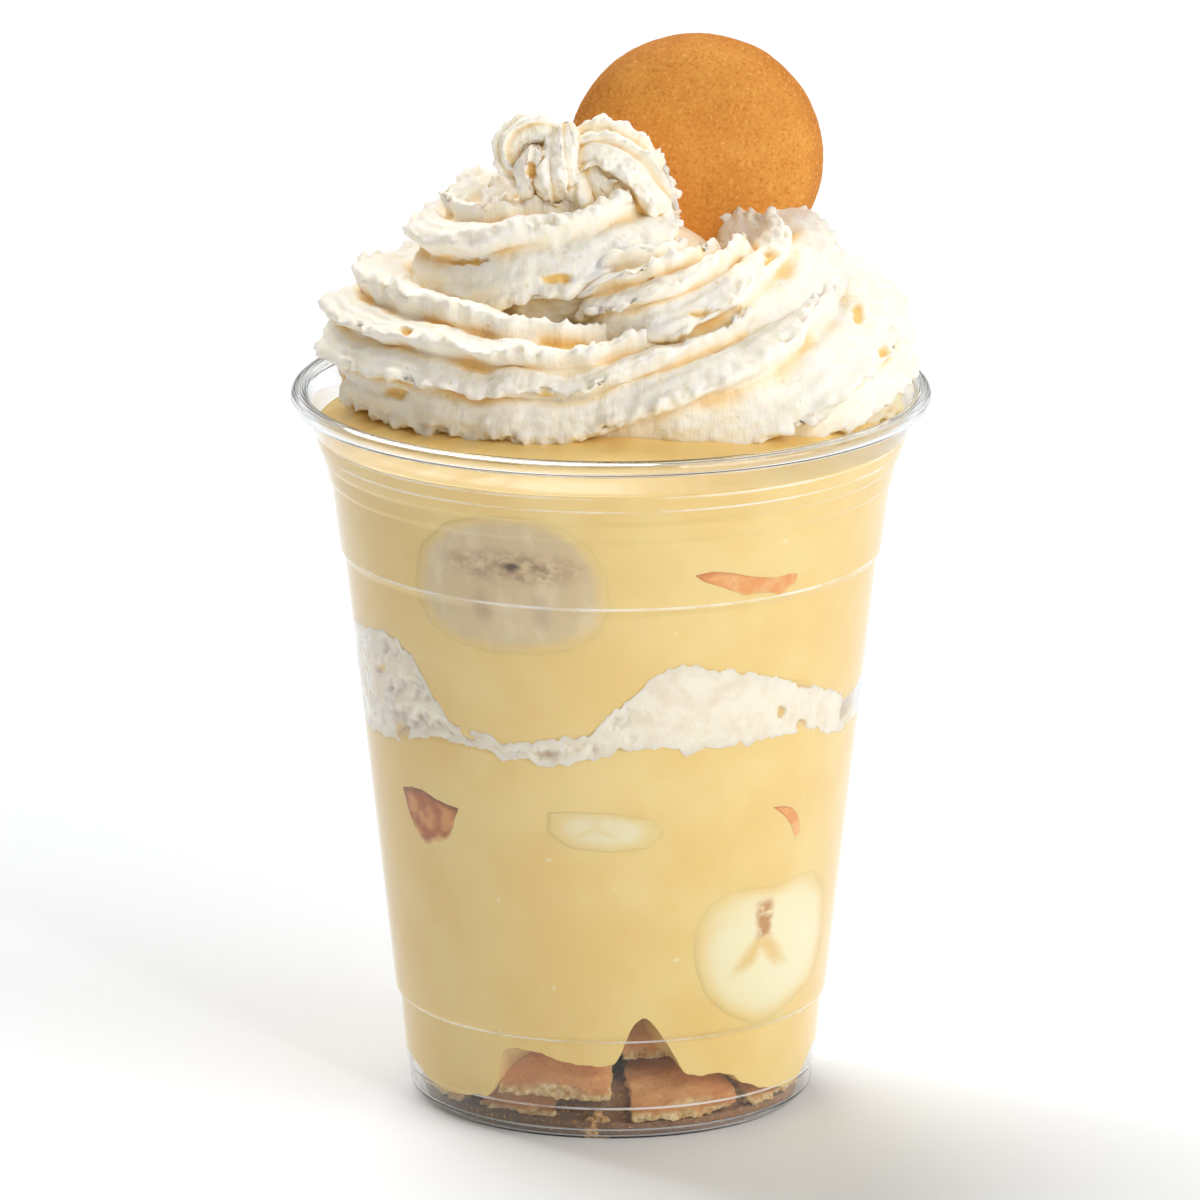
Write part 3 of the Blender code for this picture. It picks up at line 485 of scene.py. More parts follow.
def new_tree(name, inputs):
    """A geometry tree with named inputs, and its input and output nodes."""
    tree = bpy.data.node_groups.new(name, "GeometryNodeTree")
    tree.interface.new_socket("Geometry", in_out="INPUT", socket_type="NodeSocketGeometry")
    tree.interface.new_socket("Geometry", in_out="OUTPUT", socket_type="NodeSocketGeometry")
    for label, kind in inputs:
        tree.interface.new_socket(label, in_out="INPUT", socket_type="NodeSocket" + kind)
    return tree, tree.nodes.new("NodeGroupInput"), tree.nodes.new("NodeGroupOutput")


def end_tree(tree, outlet, inlet, geometry):
    """Ends a geometry tree: real geometry with its material."""
    real = add(tree, "GeometryNodeRealizeInstances", {"Geometry": geometry})
    painted = add(
        tree, "GeometryNodeSetMaterial", {"Geometry": real, "Material": inlet.outputs["Material"]}
    )
    tree.links.new(painted.outputs[0], outlet.inputs[0])


def grow(source, tree, values):
    """The plain mesh that a geometry tree makes of the source object, which is then removed."""
    modifier = source.modifiers.new(tree.name, "NODES")
    modifier.node_group = tree
    names = {item.name: item.identifier for item in tree.interface.items_tree if item.in_out == "INPUT"}
    for label, value in values.items():
        modifier[names[label]] = value
    bpy.context.view_layer.update()
    mesh = bpy.data.meshes.new_from_object(source.evaluated_get(bpy.context.evaluated_depsgraph_get()))
    source.modifiers.clear()
    bpy.data.objects.remove(source)
    if signed_volume(mesh) < 0:
        mesh.flip_normals()
    return mesh


def line_object(name, points):
    """An object whose mesh is one open line through points in mm."""
    mesh = bpy.data.meshes.new(name)
    mesh.from_pydata((np.asarray(points) * MM).tolist(), [(i, i + 1) for i in range(len(points) - 1)], [])
    obj = bpy.data.objects.new(name, mesh)
    bpy.context.scene.collection.objects.link(obj)
    return obj


# Materials

def blank_material(name):
    """A new material, its empty tree and a socket with Object coordinates."""
    material = bpy.data.materials.new(name)
    material.use_nodes = True
    tree = material.node_tree
    tree.nodes.clear()
    return material, tree, add(tree, "ShaderNodeTexCoord").outputs["Object"]


def end_material(tree, values):
    """Ends a material's tree with a Principled node of these values and the output."""
    shader = add(tree, "ShaderNodeBsdfPrincipled", values)
    add(tree, "ShaderNodeOutputMaterial", {"Surface": shader})


def per_mm(size):
    """The scale that gives a noise texture lumps of this size in mm."""
    return 1.0 / (size * MM)


def coat(tree, base, colour, value, low=0.0, high=1.0):
    """One colour laid over another, by a value or by where it goes softly from low to high."""
    if (low, high) != (0.0, 1.0):
        value = add(
            tree, "ShaderNodeMapRange", {0: value, 1: low, 2: high}, interpolation_type="SMOOTHSTEP"
        )
    return add(tree, "ShaderNodeMix", {0: value, 6: base, 7: colour}, data_type="RGBA").outputs[2]


def patches(tree, place, size, low, high, detail=2.0, rough=0.5):
    """Soft-edged patches this many mm wide: 0 where noise is below low and 1 where it is above high."""
    lumps = add(
        tree, "ShaderNodeTexNoise",
        {"Vector": place, "Scale": per_mm(size), "Detail": detail, "Roughness": rough},
    )
    return add(
        tree, "ShaderNodeMapRange", {0: lumps, 1: low, 2: high}, interpolation_type="SMOOTHSTEP"
    )


def custard_colour(tree, place, look):
    """Cooked custard's colour: even, with faint cloudy swirls and a few paler specks."""
    cloud = patches(tree, place, 14.0, 0.35, 0.7, 3.0)
    base = coat(tree, tuple(look.custard), tuple(look.custard_pale), cloud)
    fleck = patches(tree, place, 2.6, 0.76, 0.84, 1.0)
    return coat(tree, base, linear("#fbe8b4"), fleck)


def pet_material(look):
    """Clear PET, thermoformed from sheet: glassy, very thin, hardly tinted, with faint waves from the
    mould,
    and painted highlights: whitish lines along its steps, where the plastic is made partly milky in
    patches.
    It lets lamps and scattered light straight through, so that the filling behind it is lit."""
    material, tree, place = blank_material("clear_pet_thermoformed")
    height = add(tree, "ShaderNodeSeparateXYZ", {0: place}).outputs[2]
    line = 0.0
    # Painted highlight: along each step the plastic turns partly milky, so that it shows as a whitish line
    # in patches.
    for level, half in PAINTED_GLINT_RIDGES:
        near = add(tree, "ShaderNodeMath", {0: height, 1: level * MM, 2: half * MM}, operation="COMPARE")
        line = add(tree, "ShaderNodeMath", {0: near, 1: line}, operation="MAXIMUM")
    patchy = patches(tree, place, 11.0, 0.30, 0.62, 2.0)
    slit_and_glint_mask = add(tree, "ShaderNodeMath", {0: line, 1: patchy}, operation="MULTIPLY")
    clear_share = add(tree, "ShaderNodeMath", {0: slit_and_glint_mask, 1: -0.5, 2: 1.0}, operation="MULTIPLY_ADD")
    swell = add(tree, "ShaderNodeTexNoise", {"Vector": place, "Scale": per_mm(9.0), "Detail": 1.0})
    waves = add(tree, "ShaderNodeBump", {"Height": swell, "Strength": 0.12, "Distance": 0.3 * MM})
    shader = add(tree, "ShaderNodeBsdfPrincipled", {
        "Base Color": tuple(look.cup_tint), "Roughness": 0.035, "IOR": 1.5,
        "Transmission Weight": clear_share, "Normal": waves,
    })
    rays = add(tree, "ShaderNodeLightPath")
    through = add(tree, "ShaderNodeMath", {
        0: rays.outputs["Is Shadow Ray"], 1: rays.outputs["Is Diffuse Ray"],
    }, operation="MAXIMUM")
    clear = add(tree, "ShaderNodeBsdfTransparent", {"Color": linear("#f4f5f5")})
    both = add(tree, "ShaderNodeMixShader", {0: through, 1: shader, 2: clear})
    add(tree, "ShaderNodeOutputMaterial", {"Surface": both})
    return material


def custard_material(look):
    """Cooked vanilla custard: smooth, satin where it meets air and softly lit from inside."""
    material, tree, place = blank_material("vanilla_custard_cooked")
    lumps = add(tree, "ShaderNodeTexNoise", {"Vector": place, "Scale": per_mm(5.0)})
    swell = add(tree, "ShaderNodeBump", {"Height": lumps, "Strength": 0.25, "Distance": 0.25 * MM})
    end_material(tree, {
        "Base Color": custard_colour(tree, place, look), "Roughness": 0.24, "IOR": 1.42,
        "Subsurface Weight": 0.2, "Subsurface Scale": 2.0 * MM, "Subsurface Radius": (1.0, 0.72, 0.34),
        "Normal": swell,
    })
    return material


def cream_material(name, light, shade, crease_shade, pores, ao_crease_shade):
    """Whipped cream: matt, bright, scatters light, with tiny burst bubbles, and a warm tint in its grooves
    and creases that is painted shade.
    The vector attribute grain runs along and across a piped rope in mm, for the nozzle's fine lines."""
    material, tree, place = blank_material(name)
    # Painted shade: this attribute marks grooves and places that lie back, and there a warm colour is laid
    # in place of their shade.
    deep = add(tree, "ShaderNodeAttribute", attribute_name="crease_shade").outputs["Fac"]
    mottle = add(
        tree, "ShaderNodeTexNoise", {"Vector": place, "Scale": per_mm(3.4), "Detail": 3.0, "Roughness": 0.6}
    )
    tone = coat(tree, light, shade, mottle, 0.35, 0.7)
    # Painted shade: where ambient occlusion finds the cream closed in, it is tinted a warm yellow in place
    # of its shade.
    if ao_crease_shade:
        open_share = add(
            tree, "ShaderNodeAmbientOcclusion", {"Distance": 5.0 * MM}, samples=2
        ).outputs["AO"]
        tone = coat(tree, tone, linear("#fde2a8"), open_share, 0.60, 0.0)
    crease_shaded = coat(tree, tone, crease_shade, deep, 0.12, 1.0)
    smear = add(tree, "ShaderNodeAttribute", attribute_name="smear").outputs["Fac"]
    stained = coat(tree, crease_shaded, linear("#f8d283"), smear)
    cell = add(tree, "ShaderNodeTexVoronoi", {"Vector": place, "Scale": per_mm(1.7), "Randomness": 1.0})
    pore = add(
        tree, "ShaderNodeMapRange", {0: cell.outputs["Distance"], 1: 0.24, 2: 0.10},
        interpolation_type="SMOOTHSTEP"
    )
    spread = patches(tree, place, 7.0, 0.50, 0.64, 1.0)
    dotted = add(tree, "ShaderNodeMath", {0: pore, 1: spread}, operation="MULTIPLY")
    share = add(tree, "ShaderNodeMath", {0: dotted, 1: pores}, operation="MULTIPLY")
    flow = add(tree, "ShaderNodeAttribute", attribute_name="grain").outputs["Vector"]
    stretched = add(tree, "ShaderNodeMapping", {"Vector": flow, "Scale": (1.25, 0.22, 1.0)})
    lines = add(
        tree, "ShaderNodeTexNoise", {"Vector": stretched, "Scale": 1.0, "Detail": 3.0, "Roughness": 0.6}
    ).outputs["Fac"]
    drawn = add(tree, "ShaderNodeBump", {"Height": lines, "Strength": 0.5, "Distance": 0.4 * MM})
    froth = add(
        tree, "ShaderNodeTexNoise",
        {"Vector": place, "Scale": per_mm(0.8), "Detail": 4.0, "Roughness": 0.65}
    )
    grain = add(tree, "ShaderNodeBump", {
        "Height": froth, "Strength": 0.6, "Distance": 0.25 * MM, "Normal": drawn,
    })
    pits = add(tree, "ShaderNodeBump", {
        "Height": share, "Strength": 0.5, "Distance": 0.4 * MM, "Normal": grain,
    }, invert=True)
    end_material(tree, {
        "Base Color": coat(tree, stained, linear("#ecce92"), share), "Roughness": 0.55, "IOR": 1.4,
        "Subsurface Weight": 0.4, "Subsurface Scale": 2.2 * MM, "Subsurface Radius": (1.0, 0.74, 0.40),
        "Specular IOR Level": 0.4, "Normal": pits,
    })
    return material


def wafer_material(look, name, baked, light, toasted_and_shade):
    """A baked vanilla wafer: dry, matt golden-brown crust with fine sugar grain, and a pale open crumb
    where it is broken. The attribute crust is 1 on the baked skin and 0 on a break."""
    material, tree, place = blank_material(name)
    crust = add(tree, "ShaderNodeAttribute", attribute_name="crust").outputs["Fac"]
    # This attribute lays on the darker toasted colour: baked browning on the wafers, painted shade on the
    # crumb bed.
    toast_and_shade = add(tree, "ShaderNodeAttribute", attribute_name="toast_and_shade").outputs["Fac"]
    broad = patches(tree, place, 7.0, 0.3, 0.75, 3.0, 0.6)
    browned = coat(tree, coat(tree, baked, light, broad), toasted_and_shade, toast_and_shade)
    grain = add(
        tree, "ShaderNodeTexNoise",
        {"Vector": place, "Scale": per_mm(0.55), "Detail": 3.0, "Roughness": 0.7}
    )
    dark = add(tree, "ShaderNodeMapRange", {0: grain, 1: 0.52, 2: 0.70}, interpolation_type="SMOOTHSTEP")
    freckle = add(tree, "ShaderNodeMath", {0: dark, 1: 0.55}, operation="MULTIPLY")
    speckled = coat(tree, browned, toasted_and_shade, freckle)
    lighter = coat(tree, speckled, linear("#f0b566"), grain, 0.45, 0.28)
    crumb_tone = patches(tree, place, 1.1, 0.35, 0.65, 4.0, 0.7)
    crumb = coat(tree, linear("#c99a5a"), tuple(look.wafer_crumb), crumb_tone)
    fine = add(tree, "ShaderNodeBump", {"Height": grain, "Strength": 0.8, "Distance": 0.2 * MM})
    end_material(tree, {
        "Base Color": coat(tree, crumb, lighter, crust), "Roughness": 0.72, "IOR": 1.45,
        "Specular IOR Level": 0.2, "Subsurface Weight": 0.12, "Subsurface Scale": 0.8 * MM,
        "Subsurface Radius": (1.0, 0.5, 0.2), "Normal": fine,
    })
    return material


def star_core(tree, spot, x, y):
    """The dark pip and the blurred smudge round it in a slice cut across, at their place in the slice."""
    middle = add(tree, "ShaderNodeVectorMath", {
        0: add(tree, "ShaderNodeCombineXYZ", {0: x, 1: y}), 1: (0.10, 0.25, 0.0),
    }, operation="SUBTRACT")
    far = add(tree, "ShaderNodeVectorMath", {0: middle}, operation="LENGTH").outputs["Value"]
    level = add(tree, "ShaderNodeMapping", {"Vector": middle, "Scale": (0.62, 1.7, 1.0)})
    spread = add(tree, "ShaderNodeVectorMath", {0: level}, operation="LENGTH").outputs["Value"]
    lumps = add(tree, "ShaderNodeTexNoise", {
        "Vector": spot, "Scale": 6.0, "Detail": 4.0, "Roughness": 0.65,
    })
    blotch = add(tree, "ShaderNodeMapRange", {0: lumps, 1: 0.36, 2: 0.62}, interpolation_type="SMOOTHSTEP")
    smudge = add(tree, "ShaderNodeMapRange", {0: spread, 1: 0.50, 2: 0.10}, interpolation_type="SMOOTHSTEP")
    cloud = add(tree, "ShaderNodeMath", {0: smudge, 1: blotch}, operation="MULTIPLY")
    for x_seed, y_seed in ((-0.20, -0.30), (0.34, -0.32)):
        off = add(tree, "ShaderNodeVectorMath", {0: spot, 1: (x_seed, y_seed, 0.0)}, operation="SUBTRACT")
        drawn = add(tree, "ShaderNodeMapping", {"Vector": off, "Scale": (9.0, 3.4, 0.0)})
        near = add(tree, "ShaderNodeVectorMath", {0: drawn}, operation="LENGTH").outputs["Value"]
        dot = add(tree, "ShaderNodeMapRange", {0: near, 1: 1.1, 2: 0.1}, interpolation_type="SMOOTHSTEP")
        seed = add(tree, "ShaderNodeMath", {0: dot, 1: 0.45}, operation="MULTIPLY")
        cloud = add(tree, "ShaderNodeMath", {0: cloud, 1: seed}, operation="MAXIMUM")
    pip = add(tree, "ShaderNodeMapRange", {0: far, 1: 0.095, 2: 0.02}, interpolation_type="SMOOTHSTEP")
    return pip, cloud, far


def slit_core(tree, spot, x, y):
    """The brown slit of a slice cut across, and the two yellow splits under it, like an upturned V."""
    apart = add(tree, "ShaderNodeMath", {
        0: add(tree, "ShaderNodeMath", {0: x, 1: 0.16}, operation="ADD"),
    }, operation="ABSOLUTE")
    upright = add(tree, "ShaderNodeMath", {
        0: add(tree, "ShaderNodeMath", {0: y, 1: -0.44}, operation="ADD"),
    }, operation="ABSOLUTE")
    ragged = add(tree, "ShaderNodeTexNoise", {"Vector": spot, "Scale": 9.0, "Detail": 3.0}).outputs["Fac"]
    slit = add(tree, "ShaderNodeMath", {
        0: add(tree, "ShaderNodeMapRange", {0: apart, 1: 0.13, 2: 0.03}, interpolation_type="SMOOTHSTEP"),
        1: add(tree, "ShaderNodeMapRange", {0: upright, 1: 0.30, 2: 0.18}, interpolation_type="SMOOTHSTEP"),
    }, operation="MULTIPLY")
    torn = add(tree, "ShaderNodeMapRange", {0: ragged, 1: 0.25, 2: 0.55}, interpolation_type="SMOOTHSTEP")
    slit_and_glint_mask = add(tree, "ShaderNodeMath", {0: slit, 1: torn}, operation="MULTIPLY")
    drop = add(tree, "ShaderNodeMath", {0: y, 1: -0.62, 2: 0.13}, operation="MULTIPLY_ADD")
    gap = add(tree, "ShaderNodeMath", {0: apart, 1: drop}, operation="SUBTRACT")
    beside = add(tree, "ShaderNodeMath", {0: gap}, operation="ABSOLUTE")
    below = add(tree, "ShaderNodeMath", {
        0: add(tree, "ShaderNodeMapRange", {0: y, 1: 0.30, 2: 0.12}, interpolation_type="SMOOTHSTEP"),
        1: add(tree, "ShaderNodeMapRange", {0: y, 1: -0.32, 2: -0.05}, interpolation_type="SMOOTHSTEP"),
    }, operation="MULTIPLY")
    line = add(tree, "ShaderNodeMapRange", {0: beside, 1: 0.17, 2: 0.01}, interpolation_type="SMOOTHSTEP")
    split = add(tree, "ShaderNodeMath", {0: line, 1: below}, operation="MULTIPLY")
    flat = add(tree, "ShaderNodeCombineXYZ", {0: x, 1: y})
    far = add(tree, "ShaderNodeVectorMath", {0: flat}, operation="LENGTH").outputs["Value"]
    return slit_and_glint_mask, split, far


def banana_material(look, name, core_form, core, smudge, flesh, rim, veil):
    """Ripe banana flesh pressed against the wall: moist and pale, with a darker core, faint rays out from
    it and a soft edge where custard veils it. The UV map gives the place on the slice."""
    material, tree, place = blank_material(name)
    flat = add(tree, "ShaderNodeUVMap", uv_map="slice")
    centred = add(
        tree, "ShaderNodeMapping", {"Vector": flat, "Location": (-1.0, -1.0, 0.0), "Scale": (2.0, 2.0, 2.0)}
    )
    wobble = add(tree, "ShaderNodeTexNoise", {"Vector": centred, "Scale": 5.0, "Detail": 3.0})
    moved = add(
        tree, "ShaderNodeVectorMath", {0: wobble.outputs["Color"], 1: (0.5, 0.5, 0.5)}, operation="SUBTRACT"
    )
    swing = add(tree, "ShaderNodeVectorMath", {0: moved, "Scale": 0.14}, operation="SCALE")
    spot = add(tree, "ShaderNodeVectorMath", {0: centred, 1: swing}, operation="ADD")
    axes = add(tree, "ShaderNodeSeparateXYZ", {0: spot})
    mask, soft, far = core_form(tree, spot, axes.outputs[0], axes.outputs[1])
    streaks = add(tree, "ShaderNodeMapping", {"Vector": spot, "Scale": (4.0, 1.1, 1.0)})
    streak = add(
        tree, "ShaderNodeTexNoise", {"Vector": streaks, "Scale": 1.0, "Detail": 3.0}
    ).outputs["Fac"]
    tone = coat(tree, flesh, rim, far, 0.40, 0.95)
    ray = add(tree, "ShaderNodeMapRange", {0: streak, 1: 0.45, 2: 0.75}, interpolation_type="SMOOTHSTEP")
    share = add(tree, "ShaderNodeMath", {0: ray, 1: 0.35}, operation="MULTIPLY")
    rayed = coat(tree, tone, linear("#fff2d6"), share)
    cored = coat(tree, coat(tree, rayed, smudge, soft), core, mask)
    reach = add(tree, "ShaderNodeAttribute", attribute_name="share").outputs["Fac"]
    wander = add(tree, "ShaderNodeTexNoise", {"Vector": place, "Scale": per_mm(3.0)})
    edge = add(tree, "ShaderNodeMath", {0: wander, 1: 0.10, 2: reach}, operation="MULTIPLY_ADD")
    veiled = coat(tree, cored, custard_colour(tree, place, look), edge, 0.97 - veil, 0.97)
    fibre = add(tree, "ShaderNodeTexNoise", {"Vector": place, "Scale": per_mm(0.9), "Detail": 3.0})
    pulp = add(tree, "ShaderNodeBump", {"Height": fibre, "Strength": 0.2, "Distance": 0.1 * MM})
    end_material(tree, {
        "Base Color": veiled, "Roughness": 0.38, "IOR": 1.4, "Subsurface Weight": 0.45,
        "Subsurface Scale": 2.0 * MM, "Subsurface Radius": (1.0, 0.75, 0.4), "Normal": pulp,
    })
    return material


# Sizes and colours

def colour_property(name, description, hex_colour):
    """A colour that the user may change."""
    return FloatVectorProperty(
        name=name, description=description, subtype="COLOR", size=4, min=0.0, max=1.0,
        default=linear(hex_colour),
    )


class PUDDING_PG_looks(bpy.types.PropertyGroup):
    cup_tint: colour_property("Cup tint", "What the clear plastic lets through", "#fafbfb")
    custard: colour_property("Custard", "Colour of the cooked custard", "#f3cf80")
    custard_pale: colour_property("Custard clouds", "Paler swirls in the custard", "#f7d990")
    cream: colour_property("Cream", "Colour of the whipped cream", "#fffaf0")
    # Painted shade: this warm colour stands in for the shade deep in the cream's grooves.
    cream_crease_shade: colour_property("Cream hollows", "Colour deep in the grooves of the cream", "#f6d08a")
    wafer: colour_property("Wafer", "Colour of the wafer's baked top", "#dc9340")
    wafer_toasted: colour_property("Wafer rim", "Colour of the wafer's darkest baked edge", "#a95c22")
    wafer_crumb: colour_property("Wafer crumb", "Colour of a broken wafer's inside", "#f0d7a4")
    banana: colour_property("Banana", "Colour of the clear banana slice", "#fff0c8")


class PUDDING_PG_sizes(bpy.types.PropertyGroup):
    sides: IntProperty(
        name="Cup segments", description="Sides of the cup's rounds", default=192, min=48, max=360
    )
    fillet: FloatProperty(
        name="Cup fillets", description="Radius that the cup's corners are rounded to", default=0.0005,
        min=0.0, unit="LENGTH", subtype="DISTANCE",
    )
    teeth: IntProperty(
        name="Piping teeth", description="Ribs round the piped rope", default=8, min=5, max=20
    )
    groove: FloatProperty(
        name="Groove depth", description="Depth of the grooves as a share of the rope's girth",
        default=0.29, min=0.0, max=0.6, subtype="FACTOR",
    )
    ragged: FloatProperty(
        name="Ragged crests", description="How far the cream's crests are torn", default=0.0012,
        min=0.0, unit="LENGTH", subtype="DISTANCE",
    )
    crumbs: IntProperty(
        name="Crumbs", description="Loose wafer crumbs on the cup's floor", default=260, min=0, max=600
    )
    crumb_size: FloatProperty(
        name="Crumb size", description="Width of the largest crumb", default=0.0019,
        min=0.0002, unit="LENGTH", subtype="DISTANCE",
    )
    seed: IntProperty(name="Seed", description="Picks one scatter of crumbs", default=4, min=0)


# The stage

class PUDDING_OT_stage(bpy.types.Operator):
    """A pale floor, soft studio light and the camera"""
    bl_idname = "pudding.stage"
    bl_label = "Stage"

    def execute(self, context):
        scene = context.scene
        scene.view_settings.view_transform = "Standard"
        mesh = bpy.data.meshes.new("studio_floor")
        corners = [(x * FLOOR_HALF, y * FLOOR_HALF, 0) for x, y in ((-1, -1), (1, -1), (1, 1), (-1, 1))]
        mesh.from_pydata(corners, [], [(0, 1, 2, 3)])
        material, tree, place = blank_material("seamless_paper_matt")
        paper = coat(
            tree, linear("#f0f4f9"), linear("#f2f6fb"),
            add(tree, "ShaderNodeTexNoise", {"Vector": place, "Scale": per_mm(3.0), "Detail": 4.0})
        )
        end_material(tree, {"Base Color": paper, "Roughness": 0.8, "Specular IOR Level": 0.1})
        floor = new_object("studio_floor", mesh, material)
        world = bpy.data.worlds.new("white_studio")
        world.use_nodes = True
        tree = world.node_tree
        sky = tree.nodes["Background"]
        across = add(
            tree, "ShaderNodeSeparateXYZ", {0: add(tree, "ShaderNodeTexCoord").outputs["Generated"]}
        )
        side = add(
            tree, "ShaderNodeMapRange", {0: across, 1: -0.9, 2: 0.9}, interpolation_type="SMOOTHSTEP"
        )
        tree.links.new(coat(tree, linear("#7f6a50"), linear("#fffcf6"), side), sky.inputs["Color"])
        sky.inputs["Strength"].default_value = WORLD_STRENGTH
        scene.world = world
        for name, at, width, power in LAMPS:
            lamp = bpy.data.lights.new(name, "SUN")
            lamp.angle = math.radians(width)
            lamp.energy = power
            holder = bpy.data.objects.new(name, lamp)
            holder.rotation_euler = Vector(at).to_track_quat("Z", "Y").to_euler()
            scene.collection.objects.link(holder)
        lens = bpy.data.cameras.new("camera")
        lens.sensor_width = SENSOR
        lens.lens = VIEW_PIXELS * SENSOR / IMAGE_SIDE
        lens.clip_start = 0.1
        lens.clip_end = 20.0
        camera = bpy.data.objects.new("camera", lens)
        tilt = math.radians(VIEW_ELEVATION)
        camera.location = (
            VIEW_TARGET[0] * MM, -VIEW_DISTANCE * math.cos(tilt) * MM,
            (VIEW_TARGET[2] + VIEW_DISTANCE * math.sin(tilt)) * MM,
        )
        camera.rotation_euler = (math.radians(90.0) - tilt, 0.0, 0.0)
        scene.collection.objects.link(camera)
        scene.camera = camera
        return {"FINISHED"}


# The cup

def lip_arc(radius, start, end):
    """Points along the lip's curl, from one angle to the other."""
    angles = np.radians(np.linspace(start, end, LIP_STEPS))
    return [(LIP_CENTRE[0] + radius * math.cos(a), LIP_CENTRE[1] + radius * math.sin(a)) for a in angles]


def cup_section():
    """The cup's section, from the middle of its inner floor over the lip to the middle of its underside."""
    inside = [(r - CUP_WALL, z) for r, z in CUP_OUTSIDE[STRAIGHT_FROM:]]
    floor = FLOOR_RISE + CUP_WALL
    foot = [(0.0, floor), (FLOOR_RADIUS, floor), *[(r, CUP_WALL) for r in FOOT_INSIDE], CORNER_INSIDE]
    start, end = LIP_SWEEP
    over_lip = lip_arc(LIP_CURL, start, end)
    under_lip = lip_arc(LIP_CURL - CUP_WALL, end, start)
    under = [(FLOOR_RADIUS - CUP_WALL / 2, FLOOR_RISE), (0.0, FLOOR_RISE)]
    return foot + inside + over_lip + under_lip + list(CUP_OUTSIDE[::-1]) + under


def turning_tree():
    """Turns a section about Z: it is swept round a small circle, and closed where it meets the axis."""
    tree, inlet, outlet = new_tree("Turn a section", (
        ("Segments", "Int"), ("Fillet", "Float"), ("Path radius", "Float"), ("Material", "Material"),
    ))
    section = add(tree, "GeometryNodeMeshToCurve", {"Mesh": inlet.outputs["Geometry"]})
    rounded = add(tree, "GeometryNodeFilletCurve", {
        "Curve": section, "Radius": inlet.outputs["Fillet"], "Count": 3, "Limit Radius": True,
    }, mode="POLY")
    circle = add(tree, "GeometryNodeCurvePrimitiveCircle", {
        "Resolution": inlet.outputs["Segments"], "Radius": inlet.outputs["Path radius"],
    })
    level = add(tree, "GeometryNodeSetCurveNormal", {"Curve": circle}, mode="Z_UP")
    swept = add(tree, "GeometryNodeCurveToMesh", {"Curve": level, "Profile Curve": rounded})
    closed = add(tree, "GeometryNodeMergeByDistance", {"Geometry": swept, "Distance": AXIS_WELD})
    smooth = add(tree, "GeometryNodeSetShadeSmooth", {"Geometry": closed})
    end_tree(tree, outlet, inlet, smooth)
    return tree


def turned(name, section, segments, fillet, material):
    """A closed body of revolution about Z from a section of radii and heights in mm."""
    points = [(r - PATH_RADIUS, -z, 0.0) for r, z in section]
    mesh = grow(line_object(name + "_section", points), turning_tree(), {
        "Segments": segments, "Fillet": fillet, "Path radius": PATH_RADIUS * MM, "Material": material,
    })
    return new_object(name, mesh, material)


class PUDDING_OT_cup(bpy.types.Operator):
    """The clear cup with its rolled lip, steps and foot"""
    bl_idname = "pudding.cup"
    bl_label = "Cup"

    def execute(self, context):
        sizes = context.scene.pudding_sizes
        material = pet_material(context.scene.pudding_looks)
        cup = turned("clear_cup", cup_section(), sizes.sides, sizes.fillet, material)
        hand_over(cup, "clear_plastic", "cup")
        return {"FINISHED"}


# The layers

def wall_rows(azimuths, foot, roof, count, reach):
    """Rows of points up the wall, with reach as a function of azimuth and height. The nearest row is moved
    onto each corner of the wall's section."""
    share = np.array([0.0, SEAM, *np.linspace(0.0, 1.0, count)[1:-1], 1.0 - SEAM, 1.0])[:, None]
    heights = foot + (roof - foot) * share
    columns = np.arange(len(azimuths))
    for corner in inside_wall()[1]:
        near = np.abs(heights - corner).argmin(axis=0)
        fits = (foot < corner - 0.3) & (roof > corner + 0.3) & (near > 1) & (near < len(share) - 2)
        heights[near[fits], columns[fits]] = corner
    return at_wall(azimuths, heights, reach(azimuths, heights))


def sheet_rows(azimuths, edge, broad, level, reach, lumps, seed, tent=0.0):
    """Rows of the surface between two layers, from the axis to the wall, level where tent is 1."""
    rows = []
    for share in SHEET_SHARES:
        height = level + (broad - level) * share ** (2.0 - 1.85 * tent)
        height = height + (edge - height) * ease(share, 0.8, 1.0)
        radius = (wall_radius(edge) + reach) * share
        row = heading(azimuths) * radius[..., None] + up(height)
        row[..., 2] += lumps * ripple(row, 5.0, seed) * (1.0 - ease(share, 0.86, 1.0))
        rows.append(row)
    return rows


def sinking(past):
    """How far custard reaches into the wall, past the line where the cream band begins."""
    return CUSTARD_REACH - OVERLAP_SINK * ease(past, 0.0, OVERLAP)


def crown_height(radius):
    """Height of the custard's top at this distance from the axis."""
    return CROWN_HEIGHT - CROWN_FALL * (radius / CROWN_SPAN) ** 4


